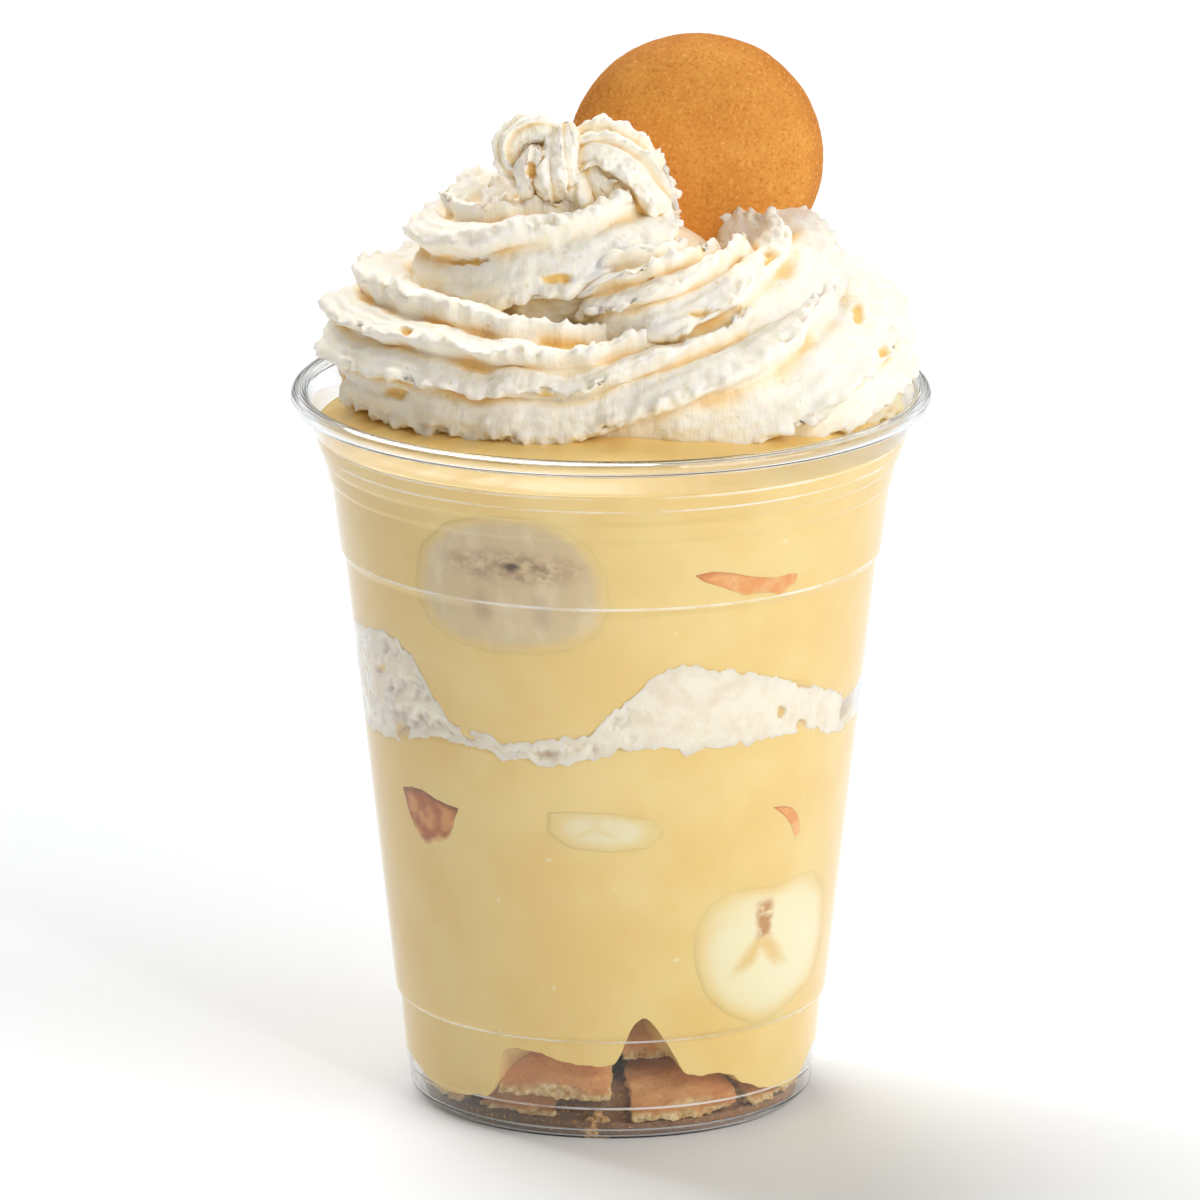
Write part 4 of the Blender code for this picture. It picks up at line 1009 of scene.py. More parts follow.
class PUDDING_OT_custard(bpy.types.Operator):
    """Both layers of custard, as they press against the wall"""
    bl_idname = "pudding.custard"
    bl_label = "Custard"

    def execute(self, context):
        material = custard_material(context.scene.pudding_looks)
        azimuths = round_steps(CUSTARD_STEPS)
        foot = height_round(CUSTARD_FOOT, azimuths, 1.4)
        ring = heading(azimuths) * FOOT_RING
        foot = foot + 0.35 * ripple(ring, 2.4, 1) + 0.18 * ripple(ring, 0.9, 2)
        roof = height_round(BAND_FOOT, azimuths, 2.0) + OVERLAP
        tent = np.exp(-((((azimuths + 180.0) % 360.0) - 180.0 - NOTCH_MIDDLE) / NOTCH_SPREAD) ** 2)
        broad, near = (height_round(CUSTARD_FOOT, azimuths, blur) for blur in (16.0, 3.0))
        broad = broad * (1.0 - tent) + near * tent
        under = sheet_rows(azimuths, foot, broad, CUSTARD_LEVEL, CUSTARD_REACH, 0.5, 3, tent)
        sunk = CUSTARD_REACH - OVERLAP_SINK
        over = sheet_rows(azimuths, roof, roof, BAND_FOOT_LEVEL, sunk, 0.3, 4)[::-1]
        edge = roof - OVERLAP
        rows = [*under, *wall_rows(azimuths, foot, roof, 92, lambda a, z: sinking(z - edge)), *over]
        lower = skin("custard_under_cream", rows, [(0, 0, CUSTARD_LEVEL), (0, 0, BAND_FOOT_LEVEL)])
        hand_over(new_object("custard_under_cream", lower, material), "vanilla_custard", "custard_lower")

        foot = height_round(BAND_ROOF, azimuths, 2.0) - OVERLAP
        edge = foot + OVERLAP
        under = sheet_rows(azimuths, foot, foot, BAND_ROOF_LEVEL, sunk, 0.3, 5)
        rim = np.full(len(azimuths), CUSTARD_RIM) + 0.25 * ripple(heading(azimuths) * RIM_RING, 9.0, 6)
        over = []
        for share in TOP_SHARES:
            radius = (wall_radius(rim) + CUSTARD_REACH) * share
            row = heading(azimuths) * radius[..., None] + up(crown_height(radius))
            row[..., 2] += layered(row, 7, (0.3, 6.0), (0.12, 2.2)) * (1.0 - ease(share, 0.9, 1.0))
            row[..., 2] += CREEP * ease(share, 0.955, 1.0)**3
            over.append(row)
        rows = [*under, *wall_rows(azimuths, foot, rim, 60, lambda a, z: sinking(edge - z)), *over]
        upper = skin("custard_over_cream", rows, [(0, 0, BAND_ROOF_LEVEL), (0, 0, CROWN_HEIGHT)])
        hand_over(new_object("custard_over_cream", upper, material), "vanilla_custard", "custard_upper")
        return {"FINISHED"}


def smeared(points, spots, seed):
    """Where custard has smeared into cream, from 0 to 1: spots on the side turned to the front view."""
    across = points[..., 0] + 0.5 * ripple(points, 1.6, seed + 11)
    rise = points[..., 2] + VIEW_SLOPE * points[..., 1] + 0.4 * ripple(points, 1.3, seed + 12)
    total = np.zeros(across.shape)
    for x, level, wide, high in spots:
        far = ((across - x) / wide) ** 2 + ((rise - level) / high) ** 2
        total = np.maximum(total, 1.0 - ease(far, 0.5, 1.5))
    return total * ease(-points[..., 1], -8.0, -2.0)


def band_reach(azimuths, heights, foot, roof):
    """How far the cream reaches into the wall: it touches it in patches and lies back between them."""
    points = heading(azimuths) * BAND_RING + up(heights)
    lumps = layered(points, 11, (0.80, 4.2), (0.65, 1.9), (0.35, 0.8))
    turn = (azimuths + 180.0) % 360.0 - 180.0
    smooth = ease(turn, *SMOOTH_START) * (1.0 - ease(turn, *SMOOTH_END))
    edge = np.minimum(heights - foot, roof - heights)
    depth = np.clip(-(lumps - 0.22 + 1.15 * smooth), 0.0, None) * ease(edge, 0.3, 2.4)
    middle, level, wide, high, deep = POCKET
    pocket = np.exp(-((turn - middle) / wide) ** 2 - ((heights - level) / high) ** 2)
    return BAND_REACH - depth - deep * pocket - 0.8 * smeared(points, BAND_SMEARS, 18)


class PUDDING_OT_cream_band(bpy.types.Operator):
    """The layer of whipped cream between the custards"""
    bl_idname = "pudding.cream_band"
    bl_label = "Cream band"

    def execute(self, context):
        # Painted shade: its last colour, a greyish brown, is laid where the band lies back from the wall.
        material = cream_material(
            "whipped_cream_spread", linear("#fff1dd"), linear("#f4e2c9"), linear("#d6ba97"), 0.0, False)
        azimuths = round_steps(BAND_STEPS)
        ring = heading(azimuths) * BAND_RING
        torn = layered(ring, 14, (0.8, 3.0), (0.7, 1.5), (0.35, 0.7))
        foot = height_round(BAND_FOOT, azimuths, 1.2) + torn
        torn = layered(ring, 17, (0.8, 2.8), (0.6, 1.2), (0.35, 0.6))
        roof = np.maximum(height_round(BAND_ROOF, azimuths, 1.0) + torn, foot + BAND_LEAST)
        low, high = BAND_FOOT_LEVEL + BAND_INSIDE, BAND_ROOF_LEVEL - BAND_INSIDE
        under = sheet_rows(azimuths, foot, foot, low, BAND_BACK, 0.2, 20)
        over = sheet_rows(azimuths, roof, roof, high, BAND_BACK, 0.2, 21)[::-1]
        wall = wall_rows(azimuths, foot, roof, 52, lambda a, z: band_reach(a, z, foot, roof))
        mesh = skin("cream_between", [*under, *wall, *over], [(0, 0, low), (0, 0, high)])
        points = read_points(mesh) / MM
        # Painted shade: the further the cream lies back from the wall, the more of that greyish brown it
        # gets.
        back = wall_radius(points[:, 2]) + BAND_REACH - np.hypot(points[:, 0], points[:, 1])
        write_value(mesh, "crease_shade", ease(back, 0.1, 1.1))
        write_value(mesh, "smear", smeared(points, BAND_SMEARS, 18))
        hand_over(new_object("cream_between", mesh, material), "whipped_cream", "cream_band")
        return {"FINISHED"}


# Banana and broken wafer against the wall

def outline_shares(outline, angles, eye):
    """How far each ray from the eye runs to the outline, whose corners are shares of the half sizes."""
    corners = np.array(outline, float) - eye
    reach = np.zeros(len(angles))
    for a, b in zip(corners, np.roll(corners, -1, axis=0)):
        side = b - a
        ray = np.stack([np.cos(angles), np.sin(angles)], axis=-1)
        across = ray[:, 0] * side[1] - ray[:, 1] * side[0]
        across = np.where(np.abs(across) < 1e-9, 1e-9, across)
        along = (a[0] * side[1] - a[1] * side[0]) / across
        share = (a[0] * ray[:, 1] - a[1] * ray[:, 0]) / across
        reach = np.where((along > 0) & (share >= 0) & (share <= 1), np.maximum(reach, along), reach)
    return reach


def wall_slice(name, azimuth, height, half_width, half_height, depth, roll, eye, outline, uneven, material):
    """A slice pressed against the wall: its face follows the wall and its body reaches depth mm inwards."""
    around = SLICE_POINTS
    angles = np.radians(round_steps(around))
    ray = np.stack([np.cos(angles), np.sin(angles)], axis=-1)
    circle = np.concatenate([ray, np.zeros((around, 1))], axis=1)
    key = sum(ord(letter) for letter in name)
    length = outline_shares(outline, angles, np.array(eye)) if outline else np.ones(around)
    length = length * (1.0 + uneven * (ripple(circle, 0.7, key) + 0.6 * ripple(circle, 0.22, key + 1)))
    roll = math.radians(roll)
    rows, places, shares = [], [], []
    face = [(share, 0.0) for share in np.linspace(0.03, 0.985, SLICE_ROWS)]
    for share, sunk in [*face, (1.0, 0.25), (1.0, 0.9), (0.99, depth)]:
        spot = np.array(eye) + ray * length[:, None] * share
        x, y = spot[:, 0] * half_width, spot[:, 1] * half_height
        along = x * math.cos(roll) - y * math.sin(roll)
        level = height + x * math.sin(roll) + y * math.cos(roll)
        span = np.degrees(along / wall_radius(np.full(around, height)))
        reach = SLICE_REACH - SLICE_DIVE * ease(share, 1.0 - min(0.22, 2.0 / half_height), 1.0)
        rows.append(at_wall(azimuth + span, level, reach - sunk))
        places.append(spot * 0.5 + 0.5)
        shares.append(np.full(around, share))
    middle = rows[0].mean(axis=0)
    inward = -heading(np.array(azimuth)) * depth
    mesh = skin(name, rows, [middle, middle + inward])
    spots = np.vstack([np.concatenate(places), [np.array(eye) * 0.5 + 0.5] * 2])
    layer = mesh.uv_layers.new(name="slice")
    corners = np.empty(len(mesh.loops), np.int32)
    mesh.loops.foreach_get("vertex_index", corners)
    layer.data.foreach_set("uv", spots[corners].astype(np.float32).ravel())
    write_value(mesh, "share", np.concatenate([*shares, [0.0, 0.0]]))
    return new_object(name, mesh, material)


class PUDDING_OT_banana(bpy.types.Operator):
    """Banana slices seen through the wall"""
    bl_idname = "pudding.banana"
    bl_label = "Banana slices"

    def execute(self, context):
        look = context.scene.pudding_looks
        clear = banana_material(
            look, "banana_flesh_clear", slit_core, linear("#cd975d"), linear("#f0d08a"), tuple(look.banana),
            linear("#fae6b6"), 0.24)
        veiled = banana_material(
            look, "banana_flesh_veiled", star_core, linear("#644a3a"), linear("#ac8c6a"), linear("#dcc498"),
            linear("#e2cc9e"), 0.20)
        faint = banana_material(
            look, "banana_flesh_faint", slit_core, linear("#f3dfa9"), linear("#f3dfa9"), linear("#f8e8bd"),
            linear("#f5dfa6"), 0.55)
        kinds = {"banana_slice_upper": veiled, "banana_slice_edge": faint, "banana_slice_back_edge": faint}
        for row in BANANA:
            piece = wall_slice(row[0] + "_cut", *row[1:], 0.025, kinds.get(row[0], clear))
            hand_over(piece, "banana_flesh", row[0])
        return {"FINISHED"}


# Wafers

def wafer_half(radius_share):
    """Heights of a wafer's underside and dome at this share of its radius, in mm."""
    share = np.clip(radius_share, 0.0, 1.0)
    dome = WAFER_THICK * (WAFER_EDGE + (1.0 - WAFER_EDGE) * (1.0 - share**2.6) ** 0.62)
    base = WAFER_THICK * WAFER_EDGE * (1.0 - np.sqrt(1.0 - ease(share, 0.86, 1.0)))
    return base, dome


def wafer_skin_distance(points):
    """How deep points lie under the skin of a whole wafer in its own frame, in mm."""
    radius = np.hypot(points[:, 0], points[:, 1])
    base, dome = wafer_half(radius / WAFER_RADIUS)
    return np.minimum(np.minimum(dome - points[:, 2], points[:, 2] - base), WAFER_RADIUS - radius)


def floor_frame(middle, reach, level, along, across):
    """A broken wafer's own frame, from its place and tilts."""
    a = math.radians(middle)
    place = Matrix.Translation(Vector((math.sin(a), -math.cos(a), 0.0)) * reach + Vector((0, 0, level)))
    tilt = Matrix.Rotation(math.radians(along), 4, "Y") @ Matrix.Rotation(math.radians(across), 4, "X")
    return place @ Matrix.Rotation(a, 4, "Z") @ tilt


def refined(name, node):
    """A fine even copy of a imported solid, whose loose triangles are merged first."""
    bm = bmesh.new()
    bm.from_mesh(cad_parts[node].data)
    bmesh.ops.remove_doubles(bm, verts=bm.verts, dist=SOLID_WELD)
    mesh = bpy.data.meshes.new(name)
    bm.to_mesh(mesh)
    bm.free()
    obj = bpy.data.objects.new(name, mesh)
    bpy.context.scene.collection.objects.link(obj)
    remesh = obj.modifiers.new("Even out", "REMESH")
    remesh.mode = "VOXEL"
    remesh.voxel_size = WAFER_VOXEL * MM
    bpy.context.view_layer.update()
    fine = bpy.data.meshes.new_from_object(obj.evaluated_get(bpy.context.evaluated_depsgraph_get()))
    bpy.data.objects.remove(obj)
    fine.shade_smooth()
    return fine


class PUDDING_OT_floor_wafers(bpy.types.Operator):
    """Broken wafers on the cup's floor, with baked skins and open breaks"""
    bl_idname = "pudding.floor_wafers"
    bl_label = "Broken wafers on the floor"

    def execute(self, context):
        look = context.scene.pudding_looks
        material = wafer_material(
            look, "vanilla_wafer_broken", linear("#f6b478"), linear("#fdcb96"), linear("#c67c46"))
        for number, (node, *place) in enumerate(FLOOR_WAFERS):
            mesh = refined(node + "_broken", node)
            points = read_points(mesh) / MM
            normals = read_points(mesh, "normal")
            own = floor_frame(*place)
            back = np.array(own.inverted())
            local = points @ back[:3, :3].T + back[:3, 3]
            skin_share = 1.0 - ease(wafer_skin_distance(local), 0.25, 0.7)
            from_wall = wall_radius(points[:, 2]) - np.hypot(points[:, 0], points[:, 1])
            if node != "wafer_piece_pale":
                skin_share = np.maximum(skin_share, 1.0 - ease(from_wall, 0.6, 1.4))
            else:
                skin_share = skin_share * ease(from_wall, 1.6, 3.0)
            foot = points[:, 2] - points[:, 2].min() + 0.9 * ripple(points, 1.6, number + 30)
            skin_share = skin_share * ease(foot, 0.8, 1.6)
            rough = layered(points, number + 31, (0.55, 1.5), (0.34, 0.6)) - 0.25
            sweep = layered(points, number + 33, (0.22, 3.0), (0.12, 1.0))
            moved = points + normals * (rough * (1.0 - skin_share) + sweep * skin_share - 0.03)[:, None]
            relief = 0.7 + layered(moved, number + 35, (0.7, 4.0), (0.5, 1.5))
            limit = wall_radius(moved[:, 2]) - np.clip(relief, 0.12, 1.8)
            radius = np.hypot(moved[:, 0], moved[:, 1])
            moved[:, :2] *= np.minimum(1.0, limit / radius)[:, None]
            moved[:, 2] = np.maximum(moved[:, 2], FLOOR_RISE + CUP_WALL + 0.05)
            write_points(mesh, moved * MM)
            write_value(mesh, "crust", skin_share)
            out = np.hypot(local[:, 0], local[:, 1]) / WAFER_RADIUS
            write_value(mesh, "toast_and_shade", 0.75 * ease(out, 0.72, 1.0))
            hand_over(new_object(node + "_broken", mesh, material), "baked_wafer", node)
        return {"FINISHED"}


class PUDDING_OT_wafer_chips(bpy.types.Operator):
    """Bits of wafer in the custard, seen through the wall"""
    bl_idname = "pudding.wafer_chips"
    bl_label = "Wafer chips"

    def execute(self, context):
        look = context.scene.pudding_looks
        brown = chip_material(
            look, "vanilla_wafer_soaked", linear("#bd6c30"), linear("#e09c5a"), linear("#93552a")
        )
        amber = chip_material(
            look, "vanilla_wafer_sunk", linear("#ef9f54"), linear("#f5ba78"), linear("#d47c38")
        )
        kinds = {"wafer_chip_upper": amber, "wafer_chip_right": amber, "wafer_chip_back_upper": amber}
        for row in CHIPS:
            piece = wall_slice(row[0] + "_set", *row[1:], 0.05, kinds.get(row[0], brown))
            hand_over(piece, "baked_wafer", row[0])
        return {"FINISHED"}


def chip_material(look, name, dark, light, line):
    """Wafer soaked by custard: a mottled crumb with a darker baked line on top, veiled towards its foot."""
    material, tree, place = blank_material(name)
    share = add(tree, "ShaderNodeAttribute", attribute_name="share").outputs["Fac"]
    flat = add(tree, "ShaderNodeSeparateXYZ", {0: add(tree, "ShaderNodeUVMap", uv_map="slice")})
    high = flat.outputs[1]
    crumb = coat(tree, dark, light, patches(tree, place, 2.2, 0.36, 0.66, 3.0))
    top = add(tree, "ShaderNodeMath", {
        0: add(tree, "ShaderNodeMapRange", {0: high, 1: 0.55, 2: 0.85}, interpolation_type="SMOOTHSTEP"),
        1: add(tree, "ShaderNodeMapRange", {0: share, 1: 0.55, 2: 0.92}, interpolation_type="SMOOTHSTEP"),
    }, operation="MULTIPLY")
    lined = coat(tree, crumb, line, top)
    foot = add(tree, "ShaderNodeMapRange", {0: high, 1: 0.62, 2: 0.12}, interpolation_type="SMOOTHSTEP")
    low = add(tree, "ShaderNodeMath", {0: foot, 1: 0.22, 2: share}, operation="MULTIPLY_ADD")
    frayed = add(tree, "ShaderNodeTexNoise", {"Vector": place, "Scale": per_mm(1.8), "Detail": 3.0})
    torn = add(tree, "ShaderNodeMath", {0: frayed, 1: 0.35, 2: low}, operation="MULTIPLY_ADD")
    veiled = coat(tree, lined, custard_colour(tree, place, look), torn, 0.98, 1.26)
    end_material(tree, {
        "Base Color": veiled, "Roughness": 0.5, "IOR": 1.42, "Subsurface Weight": 0.3,
        "Subsurface Scale": 1.0 * MM, "Subsurface Radius": (1.0, 0.6, 0.3),
    })
    return material


class PUDDING_OT_top_wafer(bpy.types.Operator):
    """The whole wafer that stands in the swirl"""
    bl_idname = "pudding.top_wafer"
    bl_label = "Whole wafer"

    def execute(self, context):
        look = context.scene.pudding_looks
        shares = np.sin(np.linspace(0.02, math.pi / 2, 90))
        dome = [(s * WAFER_RADIUS, wafer_half(s)[1]) for s in shares]
        base = [(s * WAFER_RADIUS, wafer_half(s)[0]) for s in shares[-2::-1]]
        azimuths = round_steps(320)
        rows = [heading(azimuths) * r + up(np.full(len(azimuths), z)) for r, z in (dome + base)[::-1]]
        mesh = skin("whole_wafer", rows, [(0, 0, 0.0), (0, 0, WAFER_THICK)])
        points = read_points(mesh) / MM
        normals = read_points(mesh, "normal")
        rough = layered(points, 41, (0.22, 7.0), (0.07, 2.4), (0.05, 0.7))
        points = points + normals * (rough - 0.02)[:, None]
        points[:, 0] *= 1.02
        radius = np.hypot(points[:, 0], points[:, 1])
        rim = ease(radius / WAFER_RADIUS, 0.86, 1.0) * 0.40 + 0.08 * ripple(points, 6.0, 44)
        write_value(mesh, "crust", np.ones(len(points)))
        write_value(mesh, "toast_and_shade", np.clip(rim, 0.0, 1.0))
        turn = Matrix.Rotation(math.radians(TOP_WAFER_TURN), 4, "Z")
        lean = Matrix.Rotation(math.radians(90.0 - TOP_WAFER_LEAN), 4, "X")
        centred = Matrix.Translation((0, 0, -WAFER_THICK / 2))
        own = np.array(Matrix.Translation(Vector(TOP_WAFER_AT)) @ turn @ lean @ centred)
        write_points(mesh, (points @ own[:3, :3].T + own[:3, 3]) * MM)
        material = wafer_material(
            look, "vanilla_wafer_baked", tuple(look.wafer), linear("#e5a04a"), tuple(look.wafer_toasted))
        hand_over(new_object("whole_wafer", mesh, material), "baked_wafer", "wafer_whole")
        return {"FINISHED"}


# The swirl

def piping_tree(normals):
    """Pipes a rope along a path: a star section is swept along it, as wide as the path's radius. Each tooth
    has its crest on top, a deep groove behind the crest, and a broad face that slopes to the next crest."""
    tree, inlet, outlet = new_tree("Pipe cream", (
        ("Teeth", "Int"), ("Points", "Int"), ("Groove", "Float"), ("Unevenness", "Float"),
        ("Material", "Material"),
    ))
    star = add(
        tree, "GeometryNodeCurvePrimitiveCircle", {"Resolution": inlet.outputs["Points"], "Radius": 1.0}
    )
    index = add(tree, "GeometryNodeInputIndex")
    place = add(tree, "ShaderNodeMath", {0: index, 1: inlet.outputs["Points"]}, operation="DIVIDE")
    swing = add(tree, "ShaderNodeMath", {0: place, 1: 2.0 * TAU, 2: 1.0}, operation="MULTIPLY_ADD")
    wave = add(tree, "ShaderNodeMath", {0: swing}, operation="SINE")
    shift = add(tree, "ShaderNodeMath", {0: wave, 1: inlet.outputs["Unevenness"]}, operation="MULTIPLY")
    toothed = add(
        tree, "ShaderNodeMath", {0: place, 1: inlet.outputs["Teeth"], 2: shift}, operation="MULTIPLY_ADD"
    )
    within = add(tree, "ShaderNodeMath", {0: toothed}, operation="FRACT")
    crest = add(tree, "ShaderNodeFloatCurve", {"Value": within})
    line = crest.mapping.curves[0]
    line.points[0].location = TOOTH[0]
    line.points[1].location = TOOTH[-1]
    for x, y in TOOTH[1:-1]:
        line.points.new(x, y)
    crest.mapping.update()
    fall = add(tree, "ShaderNodeMath", {0: crest, 1: 1.0}, operation="SUBTRACT")
    size = add(
        tree, "ShaderNodeMath", {0: fall, 1: inlet.outputs["Groove"], 2: 1.0}, operation="MULTIPLY_ADD"
    )
    spot = add(tree, "GeometryNodeInputPosition")
    moved = add(tree, "ShaderNodeVectorMath", {0: spot, "Scale": size}, operation="SCALE")
    shaped = add(tree, "GeometryNodeSetPosition", {"Geometry": star, "Position": moved})
    marked = add(tree, "GeometryNodeStoreNamedAttribute", {
        "Geometry": shaped, "Name": "crest", "Value": crest,
    }, data_type="FLOAT", domain="POINT")
    level = add(tree, "GeometryNodeSetCurveNormal", {"Curve": inlet.outputs["Geometry"]}, mode=normals)
    girth = add(tree, "GeometryNodeInputRadius")
    swept = add(tree, "GeometryNodeCurveToMesh", {
        "Curve": level, "Profile Curve": marked, "Scale": girth, "Fill Caps": True,
    })
    smooth = add(tree, "GeometryNodeSetShadeSmooth", {"Geometry": swept})
    end_tree(tree, outlet, inlet, smooth)
    return tree


def path_object(name, centres, girths, tilts):
    """A path for the piping tree, through centres in mm, with the rope's girth and twist at each point."""
    curve = bpy.data.curves.new(name, "CURVE")
    curve.dimensions = "3D"
    line = curve.splines.new("POLY")
    line.points.add(len(centres) - 1)
    flat = np.concatenate([np.asarray(centres) * MM, np.ones((len(centres), 1))], axis=1)
    line.points.foreach_set("co", flat.astype(np.float32).ravel())
    line.points.foreach_set("radius", (np.asarray(girths) * MM).astype(np.float32))
    line.points.foreach_set("tilt", (-np.radians(tilts)).astype(np.float32))
    obj = bpy.data.objects.new(name, curve)
    bpy.context.scene.collection.objects.link(obj)
    return obj


def piped(name, centres, girths, twists, points, teeth, normals, ragged, groove, material, seed):
    """One rope of piped cream along a path, with torn crests and an uneven skin."""
    girths = np.maximum(girths, 0.3)
    wander = layered(centres, seed + 20, (7.0, 9.0), (4.0, 4.0))
    path = path_object(name + "_path", centres, girths, twists + wander)
    mesh = grow(path, piping_tree(normals), {
        "Teeth": teeth, "Points": points, "Groove": groove, "Unevenness": TOOTH_UNEVEN,
        "Material": material,
    })
    run = np.concatenate([[0.0], np.cumsum(np.linalg.norm(np.diff(centres, axis=0), axis=1))])
    number = np.arange(len(mesh.vertices))
    ring = np.minimum(number // points, len(centres) - 1)
    around = (number % points) / points * TAU * girths[ring]
    flow = np.stack([run[ring] * 1.25, around, np.full(len(number), float(seed))], axis=-1)
    grain = mesh.attributes.new("grain", "FLOAT_VECTOR", "POINT")
    grain.data.foreach_set("vector", flow.astype(np.float32).ravel())
    slim = np.clip(girths[ring] / 6.5, 0.4, 1.0)
    roughen(mesh, ragged / MM * slim, seed)
    return new_object(name, mesh, material)


def roughen(mesh, ragged, seed):
    """Tears the crests of a piped mesh, makes its faces uneven and marks its grooves for painted shade."""
    points = read_points(mesh) / MM
    normals = read_points(mesh, "normal")
    crest = read_value(mesh, "crest")
    ridge = ease(crest, 0.70, 1.0)
    broad = layered(points, seed, (0.8, 8.0), (0.45, 3.6))
    lumps = layered(points, seed + 2, (0.22, 1.7), (0.13, 0.8))
    bite = np.clip(layered(points, seed + 4, (1.3, 2.4), (0.9, 1.1)), -0.9, 0.9)
    tear = bite + 0.35 * ripple(points, 0.6, seed + 6)
    ragged = ragged * (0.45 + 0.75 * ease(ripple(points, 7.0, seed + 15), -0.25, 0.35))
    stain = smeared(points, SWIRL_SMEARS, seed)
    pits = -0.18 * ease(ripple(points, 1.2, seed + 10), 0.42, 0.6) - 0.9 * stain
    points = points + normals * (broad + lumps + pits + tear * ridge * ragged)[:, None]
    points[:, 2] += ridge * layered(points, seed + 7, (0.7, 2.8), (0.5, 1.2)) * ragged
    write_points(mesh, points * MM)
    # Painted shade: the deeper a point lies in a groove, the more of the warm crease colour it gets, in
    # patches.
    patchy = 0.50 + 0.9 * ripple(points, 6.0, seed + 9)
    write_value(mesh, "crease_shade", np.clip((1.0 - crest) ** 2.4 * patchy, 0.0, 1.0))
    write_value(mesh, "smear", stain)


def swirl_core():
    """The plain heap of cream that closes the gaps between the ropes."""
    azimuths = round_steps(140)
    middle, half = np.array(CORE_MIDDLE), np.array(CORE_HALF)
    rows = []
    for slope in np.radians(np.linspace(-80, 80, 60)):
        ring = heading(azimuths) * half * math.cos(slope)
        rows.append(ring + middle + half * (0.0, 0.0, math.sin(slope)))
    tip = half * (0.0, 0.0, 1.0)
    return skin("swirl_core", rows, [middle - tip, middle + tip])


class PUDDING_OT_swirl(bpy.types.Operator):
    """Whipped cream piped in two coils, with a curl and a torn comb on top"""
    bl_idname = "pudding.swirl"
    bl_label = "Cream swirl"

    def execute(self, context):
        sizes = context.scene.pudding_sizes
        look = context.scene.pudding_looks
        material = cream_material(
            "whipped_cream_piped", tuple(look.cream), linear("#fef6e6"), tuple(look.cream_crease_shade),
            0.4, True)
        finish = (sizes.ragged, sizes.groove, material)
        for name, table, rings, phase, seed in COILS:
            angles = np.linspace(table[0][0], table[-1][0], rings)
            reach, height, girth, twist = along_table(table, angles).T
            centres = heading(angles) * reach[:, None] + np.array([*SWIRL_AXIS, 0.0]) + up(height)
            rope = piped(
                name, centres, girth, twist + phase, COIL_POINTS, sizes.teeth, "Z_UP", *finish, seed
            )
            hand_over(rope, "whipped_cream", "cream_swirl")
        for number, (name, rings, points, teeth, table) in enumerate(STROKES):
            rows = [(float(k), *row) for k, row in enumerate(table)]
            x, y, z, girth, twist = along_table(rows, np.linspace(0.0, len(rows) - 1.0, rings)).T
            centres = np.stack([x, y, z], axis=-1)
            seed = STROKE_SEED + 12 * number
            rope = piped(name, centres, girth, twist, points, teeth, "MINIMUM_TWIST", *finish, seed)
            hand_over(rope, "whipped_cream", "cream_swirl")
        core = swirl_core()
        points = read_points(core) / MM
        lumps = layered(points, 81, (1.0, 5.0), (0.5, 2.0))
        write_points(core, (points + read_points(core, "normal") * lumps[:, None]) * MM)
        # Painted shade: the heap hidden between the ropes takes half of the warm crease colour.
        write_value(core, "crease_shade", np.full(len(points), 0.5))
        hand_over(new_object("swirl_core", core, material), "whipped_cream", "cream_swirl")
        return {"FINISHED"}


# Crumbs

def crumb_tree():
    """Scatters small rough crumbs over a surface."""
    tree, inlet, outlet = new_tree("Scatter crumbs", (
        ("Density", "Float"), ("Size", "Float"), ("Seed", "Int"), ("Material", "Material"),
    ))
    points = add(tree, "GeometryNodeDistributePointsOnFaces", {
        "Mesh": inlet.outputs["Geometry"], "Density": inlet.outputs["Density"],
        "Seed": inlet.outputs["Seed"],
    })
    ball = add(tree, "GeometryNodeMeshIcoSphere", {"Radius": 0.5, "Subdivisions": 3})
    rough = add(tree, "ShaderNodeTexNoise", {"Scale": 2.6, "Detail": 2.0})
    middle = add(
        tree, "ShaderNodeVectorMath", {0: rough.outputs["Color"], 1: (0.5, 0.5, 0.5)}, operation="SUBTRACT"
    )
    push = add(tree, "ShaderNodeVectorMath", {0: middle, "Scale": 0.9}, operation="SCALE")
    crumb = add(tree, "GeometryNodeSetPosition", {"Geometry": ball.outputs["Mesh"], "Offset": push})
    turn = add(tree, "FunctionNodeRandomValue", {
        0: (0.0, 0.0, 0.0), 1: (TAU, TAU, TAU), "Seed": inlet.outputs["Seed"],
    }, data_type="FLOAT_VECTOR")
    small = add(tree, "ShaderNodeMath", {0: inlet.outputs["Size"], 1: 0.3}, operation="MULTIPLY")
    size = add(
        tree, "FunctionNodeRandomValue", {2: small, 3: inlet.outputs["Size"], "Seed": 3}, data_type="FLOAT"
    )
    laid = add(tree, "GeometryNodeInstanceOnPoints", {
        "Points": points.outputs["Points"], "Instance": crumb, "Rotation": turn, "Scale": size.outputs[1],
    })
    end_tree(tree, outlet, inlet, laid)
    return tree


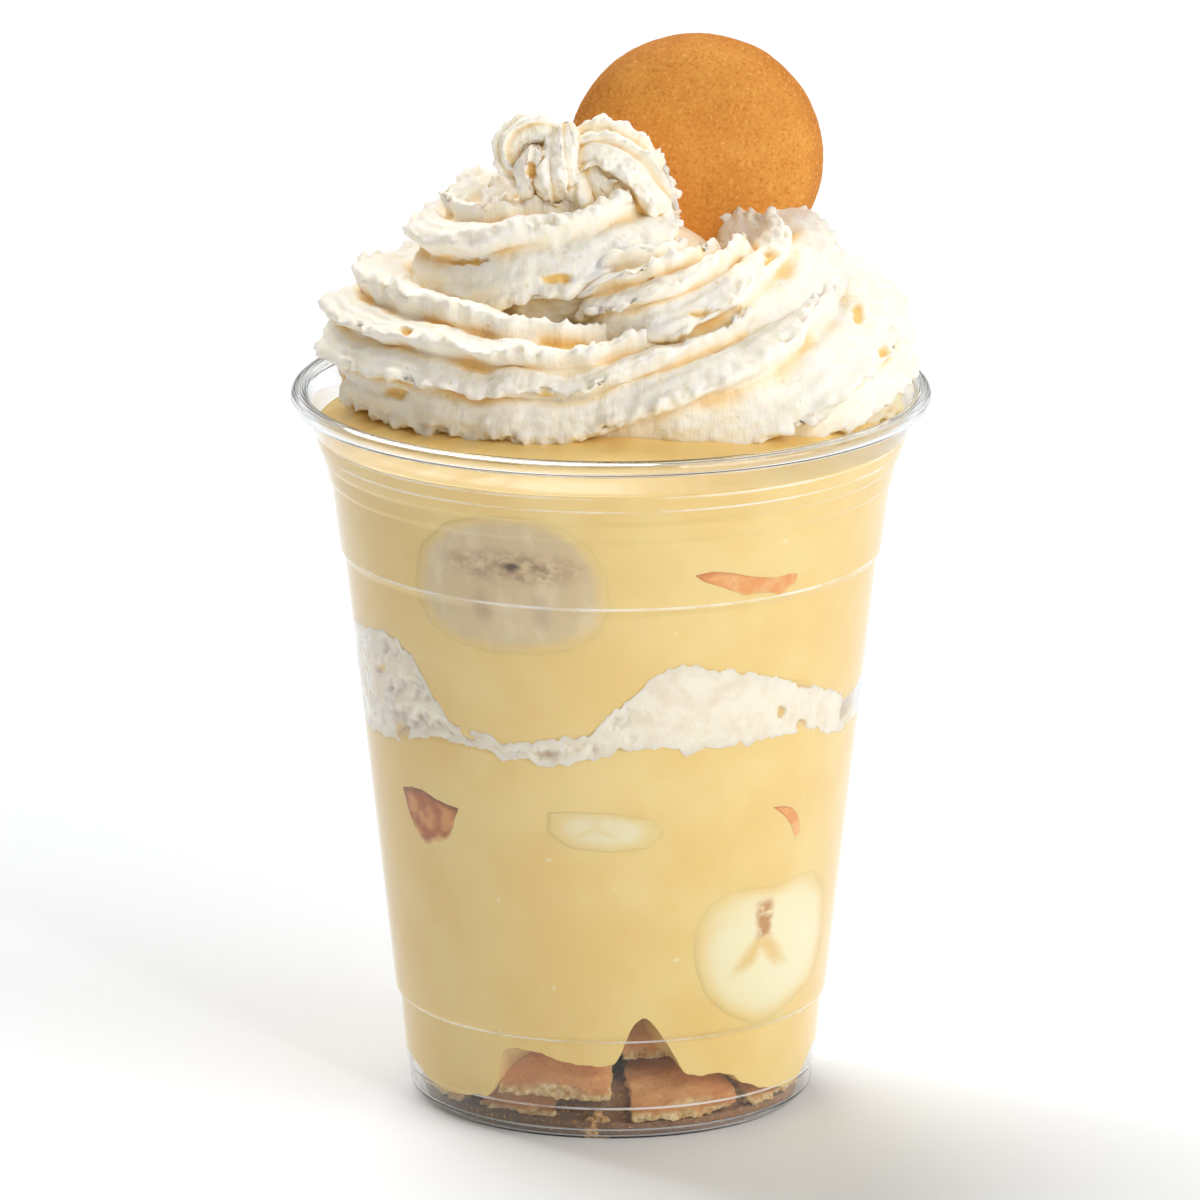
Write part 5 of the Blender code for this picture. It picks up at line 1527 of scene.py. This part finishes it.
def crumb_bed_with_painted_shade():
    """The heap of crumbs under the broken wafers. Its dark brown is painted shade of the shaded cup floor,
    darker towards the left where less light falls.
    """
    azimuths = round_steps(BED_STEPS)
    rows = [heading(azimuths) * reach + up(np.full(len(azimuths), level)) for reach, level in BED_BASE]
    floor = BED_BASE[0][1]
    for reach in np.linspace(*BED_REACHES):
        row = heading(azimuths) * reach
        heap = BED_HEAP * ease((BED_FROM - reach) / 4.0, 0.0, 1.0) * (0.75 + 0.5 * ripple(row, 6.0, 95))
        row[..., 2] = floor + 0.35 + heap + layered(row, 96, (0.35, 1.6), (0.2, 0.8))
        rows.append(row)
    bed = skin("crumb_bed", rows, [(0, 0, floor), (0, 0, floor + 5.0)])
    points = read_points(bed) / MM
    write_value(bed, "crust", np.full(len(points), 0.9))
    # Painted shade: the dark colour grows towards the left, the side that gets less light.
    write_value(bed, "toast_and_shade", 1.0 - ease(points[:, 0], -22.0, 20.0))
    return bed


class PUDDING_OT_crumbs(bpy.types.Operator):
    """Loose crumbs in the gaps between the broken wafers"""
    bl_idname = "pudding.crumbs"
    bl_label = "Crumbs"

    def execute(self, context):
        sizes = context.scene.pudding_sizes
        look = context.scene.pudding_looks
        points, faces, area = [], [], 0.0
        for first, last, near, far, level in CRUMB_BEDS:
            start = len(points)
            for azimuth in np.linspace(first, last, CRUMB_BED_STEPS):
                for reach in (near, far):
                    points.append(heading(np.array(azimuth)) * reach + up(CUP_WALL + level))
            for corner in range(start, len(points) - 2, 2):
                faces.append((corner, corner + 1, corner + 3, corner + 2))
            area += math.radians(last - first) * (far**2 - near**2) / 2
        mesh = bpy.data.meshes.new("crumb_beds")
        mesh.from_pydata((np.array(points) * MM).tolist(), [], faces)
        beds = bpy.data.objects.new("crumb_beds", mesh)
        context.scene.collection.objects.link(beds)
        material = wafer_material(
            look, "vanilla_wafer_crumbs", linear("#cf8a4c"), linear("#e3a768"), linear("#9c5c30"))
        made = grow(beds, crumb_tree(), {
            "Density": sizes.crumbs / (area * MM * MM), "Size": sizes.crumb_size, "Seed": sizes.seed,
            "Material": material,
        })
        write_value(made, "crust", np.full(len(made.vertices), 0.35))
        write_value(made, "toast_and_shade", np.zeros(len(made.vertices)))
        hand_over(new_object("loose_crumbs", made, material), "baked_wafer")
        bed = crumb_bed_with_painted_shade()
        # Painted shade: these dark browns stand in for the shade under the wafers, laid over real crumbs.
        soaked = wafer_material(
            look, "vanilla_wafer_crumbs_painted_shade", linear("#7d523b"), linear("#a1735a"), linear("#543627"))
        hand_over(new_object("crumb_bed", bed, soaked), "baked_wafer")
        return {"FINISHED"}


# The add-on

OPERATORS = (
    PUDDING_OT_stage, PUDDING_OT_cup, PUDDING_OT_custard, PUDDING_OT_cream_band, PUDDING_OT_banana,
    PUDDING_OT_wafer_chips, PUDDING_OT_floor_wafers, PUDDING_OT_crumbs, PUDDING_OT_swirl,
    PUDDING_OT_top_wafer,
)


class PUDDING_PT_panel(bpy.types.Panel):
    bl_idname = "PUDDING_PT_panel"
    bl_label = "Pudding"
    bl_space_type = "VIEW_3D"
    bl_region_type = "UI"
    bl_category = "Pudding"

    def draw(self, context):
        column = self.layout.column()
        for operator in OPERATORS:
            column.operator(operator.bl_idname)
        for group in (context.scene.pudding_looks, context.scene.pudding_sizes):
            for name in group.bl_rna.properties.keys():
                if name not in ("rna_type", "name"):
                    column.prop(group, name)


CLASSES = (PUDDING_PG_looks, PUDDING_PG_sizes, *OPERATORS, PUDDING_PT_panel)


def register():
    for cls in CLASSES:
        bpy.utils.register_class(cls)
    bpy.types.Scene.pudding_looks = PointerProperty(type=PUDDING_PG_looks)
    bpy.types.Scene.pudding_sizes = PointerProperty(type=PUDDING_PG_sizes)


def unregister():
    del bpy.types.Scene.pudding_sizes
    del bpy.types.Scene.pudding_looks
    for cls in reversed(CLASSES):
        bpy.utils.unregister_class(cls)


def main():
    register()
    bpy.ops.pudding.stage()
    bpy.ops.pudding.cup()
    bpy.ops.pudding.custard()
    bpy.ops.pudding.cream_band()
    bpy.ops.pudding.banana()
    bpy.ops.pudding.wafer_chips()
    bpy.ops.pudding.floor_wafers()
    bpy.ops.pudding.crumbs()
    bpy.ops.pudding.swirl()
    bpy.ops.pudding.top_wafer()


if __name__ == "__main__":
    main()
